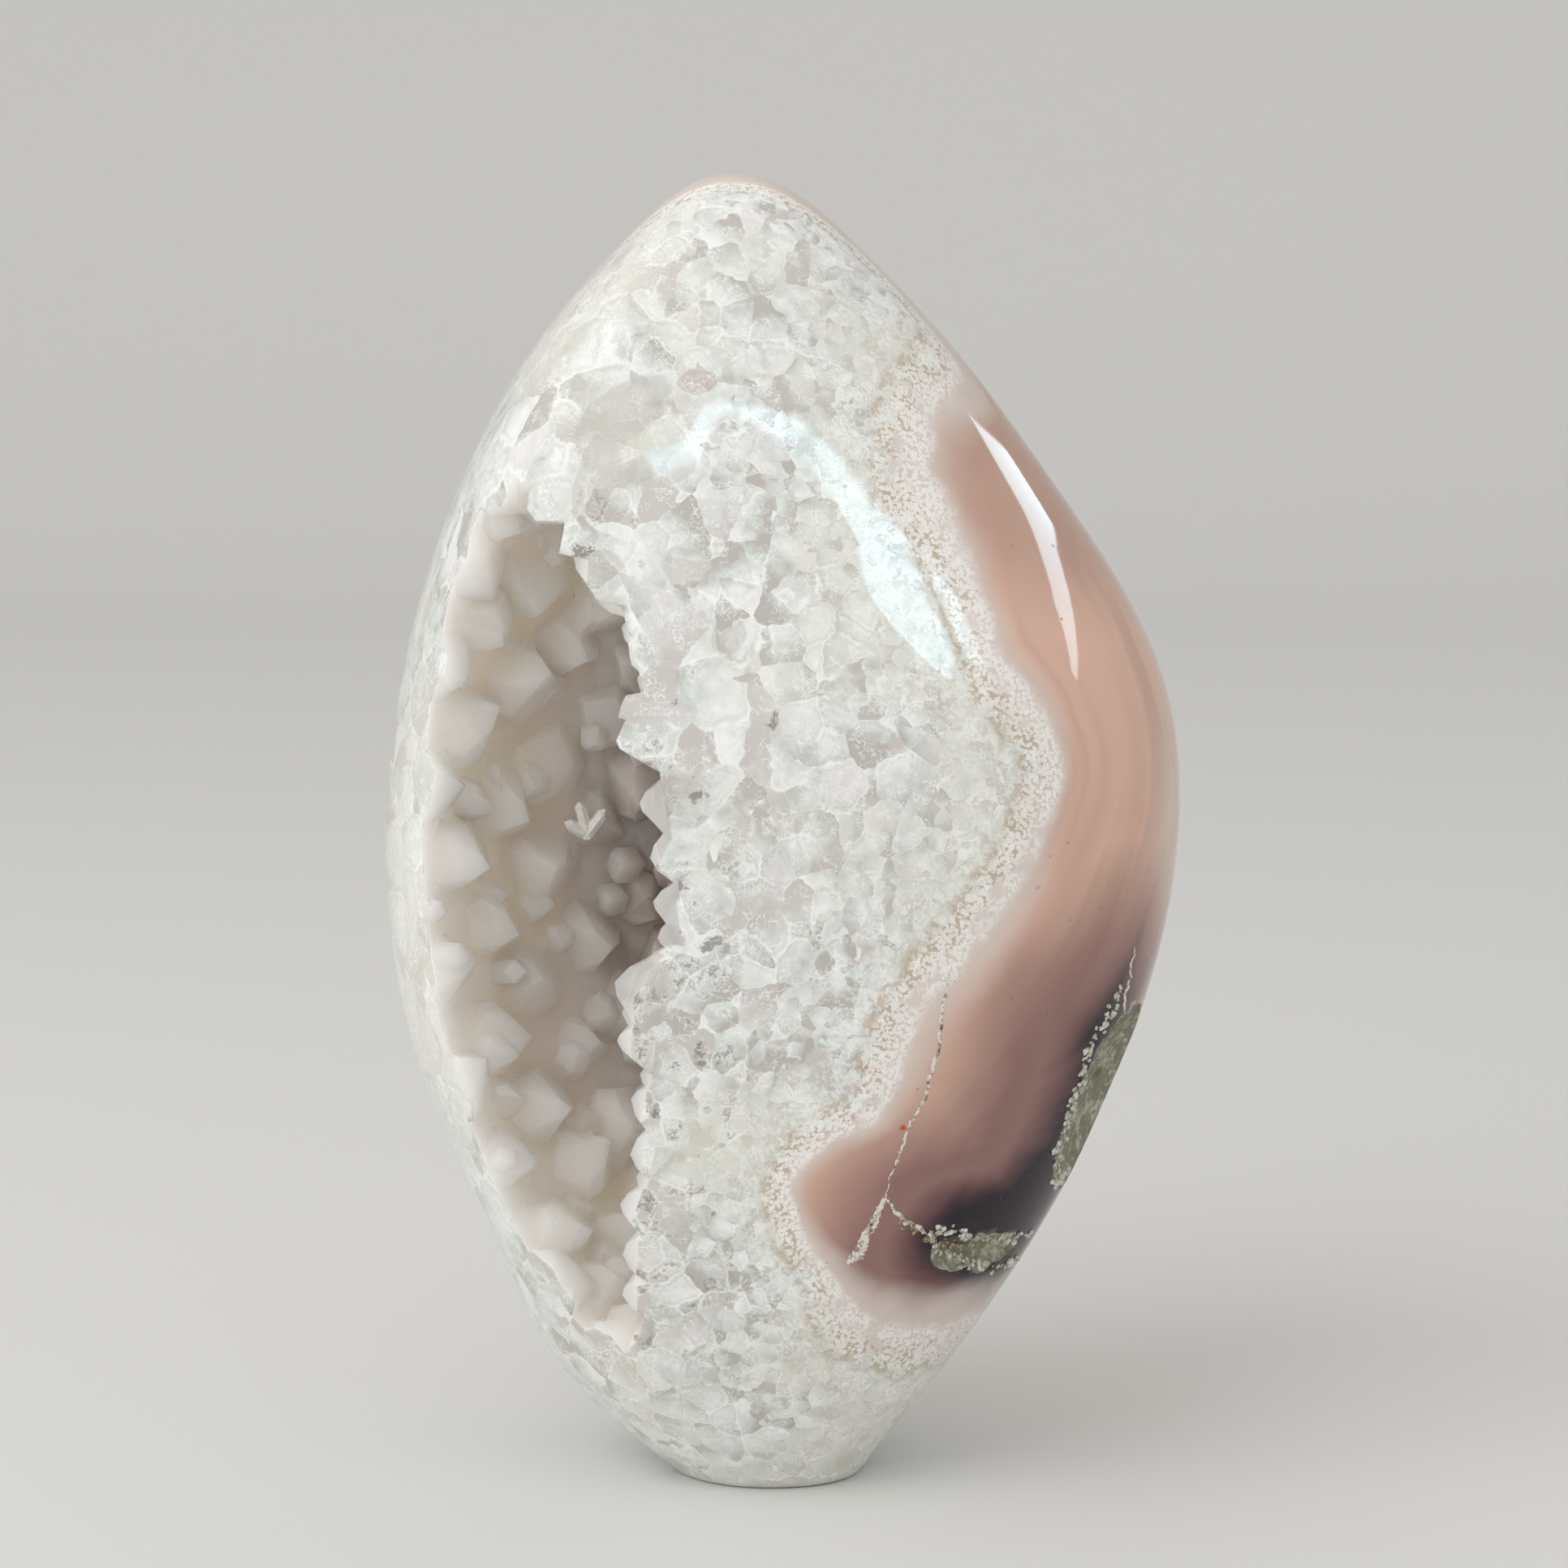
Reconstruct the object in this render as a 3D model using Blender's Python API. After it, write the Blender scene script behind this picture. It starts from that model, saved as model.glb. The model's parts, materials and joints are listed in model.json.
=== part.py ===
"""Druzy agate: a polished, free-standing piece of agate with a deep hollow of quartz crystals.

The piece stands on a small flat base. +Z is up, -Y is the front, and the origin is the middle
of the base. The hollow opens to the front left. All sizes are in metres.
"""

import math
import random

import bmesh
import bpy
import numpy as np
from mathutils import Matrix, Vector

HEIGHT = 0.120
SEED = 11

# The polished form, from the base up: height, then the left, right, front and back reach of
# the section there, and how far to the right the soft front and back ridges lie.
STATIONS = (
    (0.0000, -0.0100, 0.0075, -0.0095, 0.0095, -0.0012),
    (0.0020, -0.0129, 0.0092, -0.0117, 0.0120, -0.0018),
    (0.0095, -0.0207, 0.0152, -0.0172, 0.0180, -0.0045),
    (0.0240, -0.0281, 0.0250, -0.0232, 0.0240, -0.0085),
    (0.0400, -0.0345, 0.0325, -0.0268, 0.0270, -0.0105),
    (0.0580, -0.0368, 0.0368, -0.0280, 0.0280, -0.0090),
    (0.0760, -0.0347, 0.0346, -0.0262, 0.0264, -0.0120),
    (0.0910, -0.0299, 0.0257, -0.0217, 0.0223, -0.0180),
    (0.1040, -0.0229, 0.0160, -0.0157, 0.0163, -0.0145),
    (0.1140, -0.0144, 0.0065, -0.0091, 0.0096, -0.0080),
    (0.1185, -0.0093, 0.0009, -0.0045, 0.0049, -0.0050),
)
APEX_X = -0.0045
SIDE_DEPTH = 0.0030
# How square each quarter of a section is, from the right side round by the back: 2 is an ellipse.
SQUARENESS = (2.2, 2.15, 2.0, 2.35)
FORM_RINGS = 30
FORM_SEGMENTS = 44

# The hollow is an egg that leans with the left side and points into the stone.
HOLLOW_CENTRE = Vector((-0.0172, -0.0165, 0.0540))
HOLLOW_LEAN = -0.10
HOLLOW_TURN = math.radians(-30)
HOLLOW_WIDTH = 0.0123
HOLLOW_DEPTH = 0.0180
HOLLOW_HEIGHT = 0.0380
CRUST_THICKNESS = 0.0045
CRUST_FLOOR = 0.0028
CRUST_GAP = 0.0003
HOLLOW_SEGMENTS = 24
HOLLOW_RINGS = 16

# Quartz points: six sided, with a tip of three large and three small faces.
WALL_POINTS = 164
POINT_RADIUS = (0.0034, 0.0052)
POINT_LENGTH = (0.0056, 0.0076)
POINT_TILT = 0.22
POINT_TAPER = 0.94
TIP_SLOPE = math.radians(51.8)
FACE_TURN = math.radians(30)
SMALL_FACE_RISE = 0.21
FACE_WANDER = (-0.08, 0.06)
WALL_MARGIN = -0.0030

# Points that make the front rim of the hollow, with its stepped edge: height, reach to the left,
# radius, and how far the tip is turned up, in degrees. They lie parallel to the polish, a share
# of their radius under it, and are cut by it.
RIM_POINTS = (
    (0.0865, -0.0184, 0.0040, 12),
    (0.0820, -0.0158, 0.0034, -25),
    (0.0757, -0.0124, 0.0030, 8),
    (0.0712, -0.0100, 0.0026, -12),
    (0.0650, -0.0122, 0.0040, 2),
    (0.0603, -0.0115, 0.0028, -8),
    (0.0567, -0.0111, 0.0026, 8),
    (0.0534, -0.0107, 0.0026, -6),
    (0.0495, -0.0146, 0.0042, 14),
    (0.0439, -0.0142, 0.0038, -6),
    (0.0389, -0.0133, 0.0034, 8),
    (0.0339, -0.0134, 0.0034, -4),
    (0.0290, -0.0142, 0.0036, 6),
    (0.0240, -0.0142, 0.0034, -8),
    (0.0200, -0.0142, 0.0028, -14),
)
RIM_LEAN = math.radians(21)
RIM_LENGTH = 2.6
RIM_INSET = 0.55

# Pits where the lap left the rough outer rind: height, angle from the right side towards the
# back, half width, half height, depth, and lean against the clock as seen from outside.
RIND_PITS = (
    (0.0358, math.radians(-16), 0.0086, 0.0096, 0.0020, math.radians(3)),
    (0.0232, math.radians(-40), 0.0072, 0.0019, 0.0014, math.radians(-4)),
)
PIT_ROUGHNESS = 0.20
NEAR_ANGLE = 0.02
NEAR_TURN = 0.005

STONE_COLOUR = (0.74, 0.70, 0.66, 1.0)
STONE_ROUGHNESS = 0.12
CRYSTAL_COLOUR = (0.80, 0.77, 0.75, 1.0)
CRYSTAL_ROUGHNESS = 0.10
SHARP_ANGLE = math.radians(30)


def material(name, colour, roughness):
    """A plain mineral surface."""
    made = bpy.data.materials.new(name)
    made.use_nodes = True
    surface = made.node_tree.nodes["Principled BSDF"]
    surface.inputs["Base Color"].default_value = colour
    surface.inputs["Roughness"].default_value = roughness
    surface.inputs["Metallic"].default_value = 0.0
    return made


def turn_at(height):
    """Where a height lies on the way from base to apex, 0 to 1. Both ends come out rounded."""
    return np.arccos(1 - 2 * np.asarray(height, float) / HEIGHT) / math.pi


def smooth_through(knots, values, at):
    """The curve through the values at the knots, read at each place in at."""
    knots = np.asarray(knots, float)
    values = np.asarray(values, float)
    slopes = np.gradient(values, knots)
    k = np.clip(np.searchsorted(knots, at, side="right") - 1, 0, len(knots) - 2)
    span = knots[k + 1] - knots[k]
    t = (at - knots[k]) / span
    start = values[k] * (2 * t**3 - 3 * t**2 + 1) + slopes[k] * span * (t**3 - 2 * t**2 + t)
    end = values[k + 1] * (3 * t**2 - 2 * t**3) + slopes[k + 1] * span * (t**3 - t**2)
    return start + end


def section(turn):
    """Left, right, front and back reach, and the ridges' place, of the section at a turn."""
    rows = np.array(STATIONS)
    apex = (HEIGHT, APEX_X, APEX_X, 0.0, 0.0, APEX_X)
    rows = np.vstack([rows, apex])
    knots = turn_at(rows[:, 0])
    return [smooth_through(knots, rows[:, column], turn) for column in range(1, 6)]


def side_depth(turn):
    """How far back the widest points of a section lie: none at the base and the apex."""
    return SIDE_DEPTH * np.sin(math.pi * turn)


def form_point(turn, angle):
    """A point of the polished form. Angle 0 is the right side, a quarter turn on is the back."""
    left, right, front, back, ridge = section(turn)
    depth = side_depth(turn)
    quarter = int(angle // (math.pi / 2)) % 4
    power = 2 / SQUARENESS[quarter]
    c, s = math.cos(angle), math.sin(angle)
    across = math.copysign(abs(c) ** power, c) * (right - ridge if c > 0 else ridge - left)
    along = math.copysign(abs(s) ** power, s) * (back - depth if s > 0 else depth - front)
    height = HEIGHT * (1 - math.cos(math.pi * turn)) / 2
    return Vector((ridge + across, depth + along, height))


def inside_form(point, margin):
    """Whether a point lies inside the polished form by about the margin."""
    if not 0 < point.z < HEIGHT:
        return False
    turn = float(turn_at(point.z))
    left, right, front, back, ridge = section(turn)
    x, y = point.x - ridge, point.y - side_depth(turn)
    reach_x = (right - ridge if x > 0 else ridge - left) - margin
    reach_y = (back - side_depth(turn) if y > 0 else side_depth(turn) - front) - margin
    return reach_x > 0 and reach_y > 0 and (x / reach_x) ** 2 + (y / reach_y) ** 2 < 1


def new_object(name, mesh):
    made = bpy.data.objects.new(name, mesh)
    bpy.context.scene.collection.objects.link(made)
    return made


def form_mesh(name):
    """The whole polished form: rings of points, with a flat base and a rounded apex."""
    bm = bmesh.new()
    rings = []
    for i in range(FORM_RINGS):
        turn = i / FORM_RINGS
        angles = [2 * math.pi * j / FORM_SEGMENTS for j in range(FORM_SEGMENTS)]
        rings.append([bm.verts.new(form_point(turn, angle)) for angle in angles])
    apex = bm.verts.new((APEX_X, 0, HEIGHT))
    for lower, upper in zip(rings, rings[1:]):
        for j in range(FORM_SEGMENTS):
            k = (j + 1) % FORM_SEGMENTS
            bm.faces.new((lower[j], lower[k], upper[k], upper[j]))
    for j in range(FORM_SEGMENTS):
        bm.faces.new((rings[-1][j], rings[-1][(j + 1) % FORM_SEGMENTS], apex))
    bm.faces.new(list(reversed(rings[0])))
    mesh = bpy.data.meshes.new(name)
    bm.to_mesh(mesh)
    bm.free()
    return mesh


def hollow_place(direction, grow):
    """The point and outward normal of the hollow's egg, grown by grow, along a unit direction."""
    sizes = Vector((HOLLOW_WIDTH + grow, HOLLOW_DEPTH + grow, HOLLOW_HEIGHT + grow))
    turned = Matrix.Rotation(HOLLOW_TURN, 3, "Z")
    point = turned @ Vector([a * b for a, b in zip(direction, sizes)])
    normal = turned @ Vector([a / b for a, b in zip(direction, sizes)])
    point.x += HOLLOW_LEAN * point.z
    return HOLLOW_CENTRE + point, normal.normalized()


def hollow_mesh(name, grow, segments, rings):
    """The hollow's egg, grown by grow, as a closed mesh."""
    bm = bmesh.new()
    bmesh.ops.create_uvsphere(bm, u_segments=segments, v_segments=rings, radius=1)
    for vertex in bm.verts:
        vertex.co = hollow_place(vertex.co.normalized(), grow)[0]
    mesh = bpy.data.meshes.new(name)
    bm.to_mesh(mesh)
    bm.free()
    return mesh


def point_mesh(name, radius, length, rng):
    """One quartz point along +Z from its root to its tip."""
    bm = bmesh.new()
    bmesh.ops.create_cone(
        bm, cap_ends=True, segments=6, radius1=radius, radius2=radius * POINT_TAPER, depth=2 * length
    )
    slant = Vector((math.sin(TIP_SLOPE), 0, math.cos(TIP_SLOPE)))
    for k in range(6):
        rise = (SMALL_FACE_RISE if k % 2 else 0.0) + rng.uniform(*FACE_WANDER)
        cut_height = length + radius * rise
        normal = Matrix.Rotation((2 * k + 1) * FACE_TURN, 3, "Z") @ slant
        bmesh.ops.bisect_plane(
            bm,
            geom=bm.verts[:] + bm.edges[:] + bm.faces[:],
            plane_co=Vector((0, 0, cut_height)),
            plane_no=normal,
            clear_outer=True,
            dist=1e-7,
        )
        open_edges = [edge for edge in bm.edges if edge.is_boundary]
        if open_edges:
            bmesh.ops.contextual_create(bm, geom=open_edges)
    mesh = bpy.data.meshes.new(name)
    bm.to_mesh(mesh)
    bm.free()
    return mesh


def place_point(group, root, axis, radius, length, rng, facing=None):
    """Adds one quartz point, rooted at root and pointing along axis, with a face turned to facing."""
    mesh = point_mesh("quartz_point", radius, length, rng)
    made = bpy.data.objects.new("quartz_point", mesh)
    group.objects.link(made)
    aim = axis.to_track_quat("Z", "Y").to_matrix()
    spin = rng.uniform(0, math.pi / 3)
    if facing is not None:
        towards = aim.inverted() @ facing
        spin = math.atan2(towards.y, towards.x) - FACE_TURN
    made.matrix_world = Matrix.Translation(root) @ aim.to_4x4() @ Matrix.Rotation(spin, 4, "Z")


def wall_points(group, rng):
    """Points spread evenly over the wall of the hollow, each tilted a little."""
    golden = math.pi * (3 - math.sqrt(5))
    for i in range(WALL_POINTS):
        up = 1 - 2 * (i + 0.5) / WALL_POINTS
        round_about = math.sqrt(1 - up * up)
        direction = Vector(
            (round_about * math.cos(i * golden), round_about * math.sin(i * golden), up)
        )
        root, normal = hollow_place(direction, CRUST_THICKNESS)
        wander = Vector([rng.gauss(0, POINT_TILT) for _ in range(3)])
        radius = rng.uniform(*POINT_RADIUS)
        length = rng.uniform(*POINT_LENGTH)
        if inside_form(root, WALL_MARGIN):
            place_point(group, root, (wander - normal).normalized(), radius, length, rng)


def front_surface(x, height):
    """The depth of the polished form's front at a place seen from the front."""
    turn = float(turn_at(height))
    left, right, front, _, ridge = section(turn)
    reach = right - ridge if x > ridge else ridge - left
    power = SQUARENESS[3] if x > ridge else SQUARENESS[2]
    share = min(abs(x - ridge) / reach, 1.0)
    depth = side_depth(turn)
    return depth - (depth - front) * (1 - share**power) ** (1 / power)


def rim_points(group, rng):
    """The hand-placed points whose cut sections make the front rim of the hollow."""
    for height, reach, radius, lift in RIM_POINTS:
        length = RIM_LENGTH * radius
        lift = math.radians(lift)
        flat = math.cos(lift)
        axis = Vector((-math.cos(RIM_LEAN) * flat, math.sin(RIM_LEAN) * flat, math.sin(lift)))
        tip = Vector((reach, front_surface(reach, height) + RIM_INSET * radius, height))
        place_point(group, tip - axis * length, axis, radius, length, rng, Vector((0, -1, 0)))


def add_boolean(target, operation, other):
    """Adds an exact Boolean with an object or with all objects of a collection."""
    cut = target.modifiers.new(operation.lower(), "BOOLEAN")
    cut.operation = operation
    cut.solver = "EXACT"
    if isinstance(other, bpy.types.Collection):
        cut.operand_type = "COLLECTION"
        cut.collection = other
    else:
        cut.object = other


def largest_body(target):
    """Applies the modifiers and keeps the largest connected body."""
    graph = bpy.context.evaluated_depsgraph_get()
    mesh = bpy.data.meshes.new_from_object(target.evaluated_get(graph))
    target.modifiers.clear()
    bm = bmesh.new()
    bm.from_mesh(mesh)
    bm.faces.ensure_lookup_table()
    seen = set()
    bodies = []
    for face in bm.faces:
        if face in seen:
            continue
        body, front = {face}, [face]
        while front:
            for edge in front.pop().edges:
                for near in edge.link_faces:
                    if near not in body:
                        body.add(near)
                        front.append(near)
        seen |= body
        bodies.append(body)
    keep = max(bodies, key=lambda faces: sum(face.calc_area() for face in faces))
    bmesh.ops.delete(bm, geom=[f for f in bm.faces if f not in keep], context="FACES")
    bmesh.ops.triangulate(bm, faces=bm.faces[:])
    bm.to_mesh(mesh)
    bm.free()
    target.data = mesh


def helper(name, mesh):
    """A shape that only cuts others."""
    made = new_object(name, mesh)
    made.hide_render = True
    made.display_type = "WIRE"
    return made


def rind_pit(name, height, angle, half_width, half_height, depth, lean, rng):
    """A lumpy cutter on the polished form that leaves a shallow rough pit."""
    turn = float(turn_at(height))
    across = form_point(turn, angle + NEAR_ANGLE) - form_point(turn, angle - NEAR_ANGLE)
    upward = form_point(turn + NEAR_TURN, angle) - form_point(turn - NEAR_TURN, angle)
    outward = across.cross(upward).normalized()
    upward = outward.cross(across).normalized()
    placing = Matrix((across.normalized(), upward, outward)).transposed().to_4x4()
    placing.translation = form_point(turn, angle)
    bm = bmesh.new()
    bmesh.ops.create_icosphere(bm, subdivisions=2, radius=1)
    for vertex in bm.verts:
        vertex.co *= 1 + rng.uniform(-PIT_ROUGHNESS, PIT_ROUGHNESS)
    sizes = Matrix.Diagonal((half_width, half_height, depth, 1))
    bm.transform(placing @ Matrix.Rotation(lean, 4, "Z") @ sizes)
    mesh = bpy.data.meshes.new(name)
    bm.to_mesh(mesh)
    bm.free()
    return helper(name, mesh)


def crystal_void(rng):
    """The free space of the hollow: its egg less every quartz point."""
    group = bpy.data.collections.new("quartz_points")
    group.hide_render = True
    bpy.context.scene.collection.children.link(group)
    wall_points(group, rng)
    rim_points(group, rng)
    floor = CRUST_THICKNESS - CRUST_FLOOR
    void = helper("void", hollow_mesh("void", floor, HOLLOW_SEGMENTS, HOLLOW_RINGS))
    add_boolean(void, "DIFFERENCE", group)
    largest_body(void)
    for point in list(group.objects):
        bpy.data.objects.remove(point)
    return void


def agate_stone(rng):
    """The polished stone, with its open hollow and its rough pits."""
    stone = new_object("agate_stone", form_mesh("agate_stone"))
    grow = CRUST_THICKNESS + CRUST_GAP
    socket = helper("socket", hollow_mesh("socket", grow, HOLLOW_SEGMENTS, HOLLOW_RINGS))
    add_boolean(stone, "DIFFERENCE", socket)
    for number, pit in enumerate(RIND_PITS, start=1):
        add_boolean(stone, "DIFFERENCE", rind_pit(f"rind_pit_{number}", *pit, rng))
    largest_body(stone)
    stone.data.materials.append(material("polished_agate", STONE_COLOUR, STONE_ROUGHNESS))
    return stone


def crystal_crust(void):
    """The crust of quartz crystals that lines the hollow, cut off flush with the polish."""
    mesh = hollow_mesh("crystal_crust", CRUST_THICKNESS, HOLLOW_SEGMENTS, HOLLOW_RINGS)
    crust = new_object("crystal_crust", mesh)
    form = helper("form", form_mesh("form"))
    add_boolean(crust, "DIFFERENCE", void)
    add_boolean(crust, "INTERSECT", form)
    largest_body(crust)
    crust.data.materials.append(material("quartz_crystal", CRYSTAL_COLOUR, CRYSTAL_ROUGHNESS))
    return crust


def main():
    for old in list(bpy.data.objects):
        bpy.data.objects.remove(old)
    stone = agate_stone(random.Random(SEED))
    stone.data.shade_smooth()
    stone.data.set_sharp_from_angle(angle=SHARP_ANGLE)
    crystal_crust(crystal_void(random.Random(SEED)))


main()
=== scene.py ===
"""The looks of a polished druzy agate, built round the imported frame.

Lengths are in metres unless a name says otherwise. A place "in view" is millimetres right of and
above the middle of the front view, at the distance of the stone's axis.
"""

import json
import math
import random

import bmesh
import bpy
import numpy as np
from mathutils import Matrix, Vector, noise
from mathutils.bvhtree import BVHTree

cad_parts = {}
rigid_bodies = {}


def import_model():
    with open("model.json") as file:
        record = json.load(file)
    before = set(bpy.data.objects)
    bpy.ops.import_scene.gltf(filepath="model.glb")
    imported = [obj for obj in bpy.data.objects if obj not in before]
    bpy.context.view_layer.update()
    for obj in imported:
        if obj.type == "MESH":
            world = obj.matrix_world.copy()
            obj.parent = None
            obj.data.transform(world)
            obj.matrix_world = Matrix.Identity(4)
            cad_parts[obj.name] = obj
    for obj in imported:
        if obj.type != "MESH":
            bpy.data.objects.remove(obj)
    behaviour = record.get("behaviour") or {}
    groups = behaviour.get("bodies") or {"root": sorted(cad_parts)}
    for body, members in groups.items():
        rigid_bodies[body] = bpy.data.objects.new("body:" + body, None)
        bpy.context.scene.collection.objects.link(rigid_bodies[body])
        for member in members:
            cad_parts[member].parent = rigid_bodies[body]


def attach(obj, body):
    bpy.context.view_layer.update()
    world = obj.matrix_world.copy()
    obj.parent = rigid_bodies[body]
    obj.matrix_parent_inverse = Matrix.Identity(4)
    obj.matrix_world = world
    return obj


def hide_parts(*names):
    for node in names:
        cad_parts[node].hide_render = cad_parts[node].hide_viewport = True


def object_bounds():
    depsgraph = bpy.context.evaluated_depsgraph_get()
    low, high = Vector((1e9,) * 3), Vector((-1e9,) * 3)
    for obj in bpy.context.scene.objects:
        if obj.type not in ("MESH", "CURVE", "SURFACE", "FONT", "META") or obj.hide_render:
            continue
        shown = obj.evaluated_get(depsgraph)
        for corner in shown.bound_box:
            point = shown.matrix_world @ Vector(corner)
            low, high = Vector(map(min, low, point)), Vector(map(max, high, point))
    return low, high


bl_info = {
    "name": "Druzy Agate",
    "version": (1, 0, 0),
    "blender": (4, 5, 0),
    "location": "3D View > Sidebar > Agate",
    "description": "A polished agate with a hollow of quartz crystals",
    "category": "Add Mesh",
}

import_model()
CAD_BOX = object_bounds()
HEIGHT = CAD_BOX[1][2] - CAD_BOX[0][2]
MM = 0.001
SEED = 11

# The polished form, from the base up: height, then the left, right, front and back reach of
# the section there, and how far to the right the soft front and back ridges lie.
STATIONS = (
    (0.0000, -0.0100, 0.0075, -0.0095, 0.0095, -0.0012),
    (0.0020, -0.0129, 0.0092, -0.0117, 0.0120, -0.0018),
    (0.0095, -0.0207, 0.0152, -0.0172, 0.0180, -0.0045),
    (0.0240, -0.0281, 0.0250, -0.0232, 0.0240, -0.0085),
    (0.0400, -0.0345, 0.0325, -0.0268, 0.0270, -0.0105),
    (0.0580, -0.0368, 0.0368, -0.0280, 0.0280, -0.0090),
    (0.0760, -0.0347, 0.0346, -0.0262, 0.0264, -0.0120),
    (0.0910, -0.0299, 0.0257, -0.0217, 0.0223, -0.0180),
    (0.1040, -0.0229, 0.0160, -0.0157, 0.0163, -0.0145),
    (0.1140, -0.0144, 0.0065, -0.0091, 0.0096, -0.0080),
    (0.1185, -0.0093, 0.0009, -0.0045, 0.0049, -0.0050),
)
APEX_X = -0.0045
SIDE_DEPTH = 0.0030
# How square each quarter of a section is, from the right side round by the back: 2 is an ellipse.
SQUARENESS = (2.2, 2.15, 2.0, 2.35)
FORM_RINGS = 190
FORM_SEGMENTS = 260

# The slight waves that polishing by hand leaves. They fade out towards the base.
POLISH_WAVE = 0.00002
POLISH_WAVE_LENGTH = 0.011
POLISH_FADE = 0.006

# The hollow, an egg that leans with the left side and points into the stone.
HOLLOW_CENTRE = Vector((-0.0172, -0.0165, 0.0540))
HOLLOW_LEAN = -0.10
HOLLOW_TURN = math.radians(-30)
HOLLOW_WIDTH = 0.0123
HOLLOW_DEPTH = 0.0180
HOLLOW_HEIGHT = 0.0380
# The crystals root this far outside the egg, and a floor this thick covers their roots.
CRUST_THICKNESS = 0.0045
CRUST_FLOOR = 0.0028
HOLLOW_SEGMENTS = 48
HOLLOW_RINGS = 32

# Quartz points: six sided, with a tip of three large and three small faces.
WALL_POINTS = 164
POINT_RADIUS = (0.0034, 0.0052)
POINT_LENGTH = (0.0056, 0.0076)
POINT_TILT = 0.22
POINT_TAPER = 0.94
FACE_WANDER = (-0.08, 0.06)
TIP_SLOPE = math.radians(51.8)
SMALL_FACE_RISE = 0.21
SIDES = 6
# How many degrees round the first face looks.
FIRST_FACE = 30
# How far inside the polished form the root of a point has to lie. Less than zero is outside.
WALL_MARGIN = -0.0030

# Small points: how far their roots and axes stray, their share of the mean radius, and their length.
SMALL_STRAY = 0.06
SMALL_TILT = 0.28
SMALL_SHARE = (0.6, 1.6)
SMALL_LENGTH = (0.0050, 0.0066)

# Points that make the front rim of the hollow: height, reach to the left, radius, and how far the
# tip is turned up, in degrees. They lie parallel to the polish, a share of their radius under it.
MILKY_RIM_POINTS = (
    (0.0865, -0.0184, 0.0040, 12),
    (0.0757, -0.0124, 0.0030, 8),
    (0.0712, -0.0100, 0.0026, -12),
    (0.0439, -0.0142, 0.0038, -6),
    (0.0389, -0.0133, 0.0034, 8),
    (0.0339, -0.0134, 0.0034, -4),
    (0.0290, -0.0142, 0.0036, 6),
    (0.0240, -0.0142, 0.0034, -8),
    (0.0200, -0.0142, 0.0028, -14),
)
CLEAR_RIM_POINTS = (
    (0.0820, -0.0158, 0.0034, -25),
    (0.0650, -0.0122, 0.0040, 2),
    (0.0603, -0.0115, 0.0028, -8),
    (0.0567, -0.0111, 0.0026, 8),
    (0.0534, -0.0107, 0.0026, -6),
    (0.0495, -0.0146, 0.0042, 14),
)
RIM_LEAN = math.radians(21)
RIM_LENGTH = 2.6
RIM_INSET = 0.55
# The points in the rim's gaps: where in the gap they lie, their radius, and how far they stand back.
RIM_GAP_SHARE = (0.3, 0.7)
RIM_GAP_RADIUS = (0.0024, 0.0038)
RIM_GAP_INSET = (0.0000, 0.0020)
# How far the clear points stand out from the milky ones behind them, and lie under the polish.
CLEAR_TIP = 0.0016
CLEAR_INSET = 0.00005

# Pits with rough rind: height, angle from the right side towards the back, half width, half
# height, depth, and lean against the clock as seen from outside.
RIND_PITS = (
    (0.0358, math.radians(-16), 0.0086, 0.0096, 0.0020, math.radians(3)),
    (0.0232, math.radians(-40), 0.0072, 0.0019, 0.0014, math.radians(-4)),
)
# The lumps of the rough rind: their sizes, the shares of lumps and pearls in the relief, and how
# much of the lumps makes the edge of a pit ragged.
LUMP_SIZE = 0.0030
FINE_LUMP_SIZE = 0.0013
FINE_LUMP_SHARE = 0.6
PEARL_SIZE = 0.0009
LUMP_SHARE = 0.7
PEARL_SHARE = 0.55
EDGE_SHARE = 1.3

# Where quartz turns into agate, in view, from the top down. It ends past the right side.
BAND_LINE = (
    (14.8, 39.4), (12.4, 37.0), (11.0, 33.5), (10.8, 27.5), (16.1, 18.5), (18.7, 10.2),
    (22.8, 5.0), (24.3, 1.2), (21.3, -7.1), (17.6, -12.3), (13.8, -16.8), (10.8, -20.6),
    (9.3, -25.1), (7.8, -30.3), (4.1, -31.8), (0.7, -34.8), (-0.6, -37.9), (0.7, -41.6),
    (2.9, -45.4), (5.6, -50.6), (10.8, -52.5),
)
# How far it shifts to the left for each step towards the back.
BAND_LEAN = 0.6
# From its first point the line runs this far to the right, up to this height, above the tip. Past
# its last point it runs on by this much, to the right and down.
BAND_TOP = (6, 125)
BAND_END = (60, -2)
# How wide the band and the haze are at these heights in millimetres, against their usual width.
BAND_WIDTHS = ((19, 23, 35, 42, 84, 92, 104), (1.0, 0.5, 0.5, 0.9, 1.0, 1.4, 1.2))
HAZE_WIDTHS = (
    (18, 23, 26, 35, 40, 48, 56, 66, 74, 90, 97, 104, 112),
    (2.0, 2.4, 1.6, 1.5, 1.8, 1.8, 1.5, 1.0, 1.5, 1.2, 1.5, 4.5, 9.0),
)
# On the side of the quartz the band is nowhere narrower than this share.
LEAST_QUARTZ_WIDTH = 0.7

# Above this surface, in millimetres, the tip is agate again.
CAP_HEIGHT = 118.4
CAP_SLOPE = 0.9
CAP_FRONT = 4
CAP_CURVE = 0.04
CAP_STEEPNESS = 2.2

# The edge of the rough rind, in view. The agate darkens towards it, and further from it than the
# reach, in millimetres, it stays the same.
RIND_LINE = (
    (31.0, -20.6), (28.8, -23.6), (27.9, -27.3), (26.4, -30.5), (25.4, -33.3), (25.2, -37.2),
    (24.0, -40.1), (21.3, -42.4), (15.8, -43.2),
)
RIND_REACH = 16.5

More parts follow.
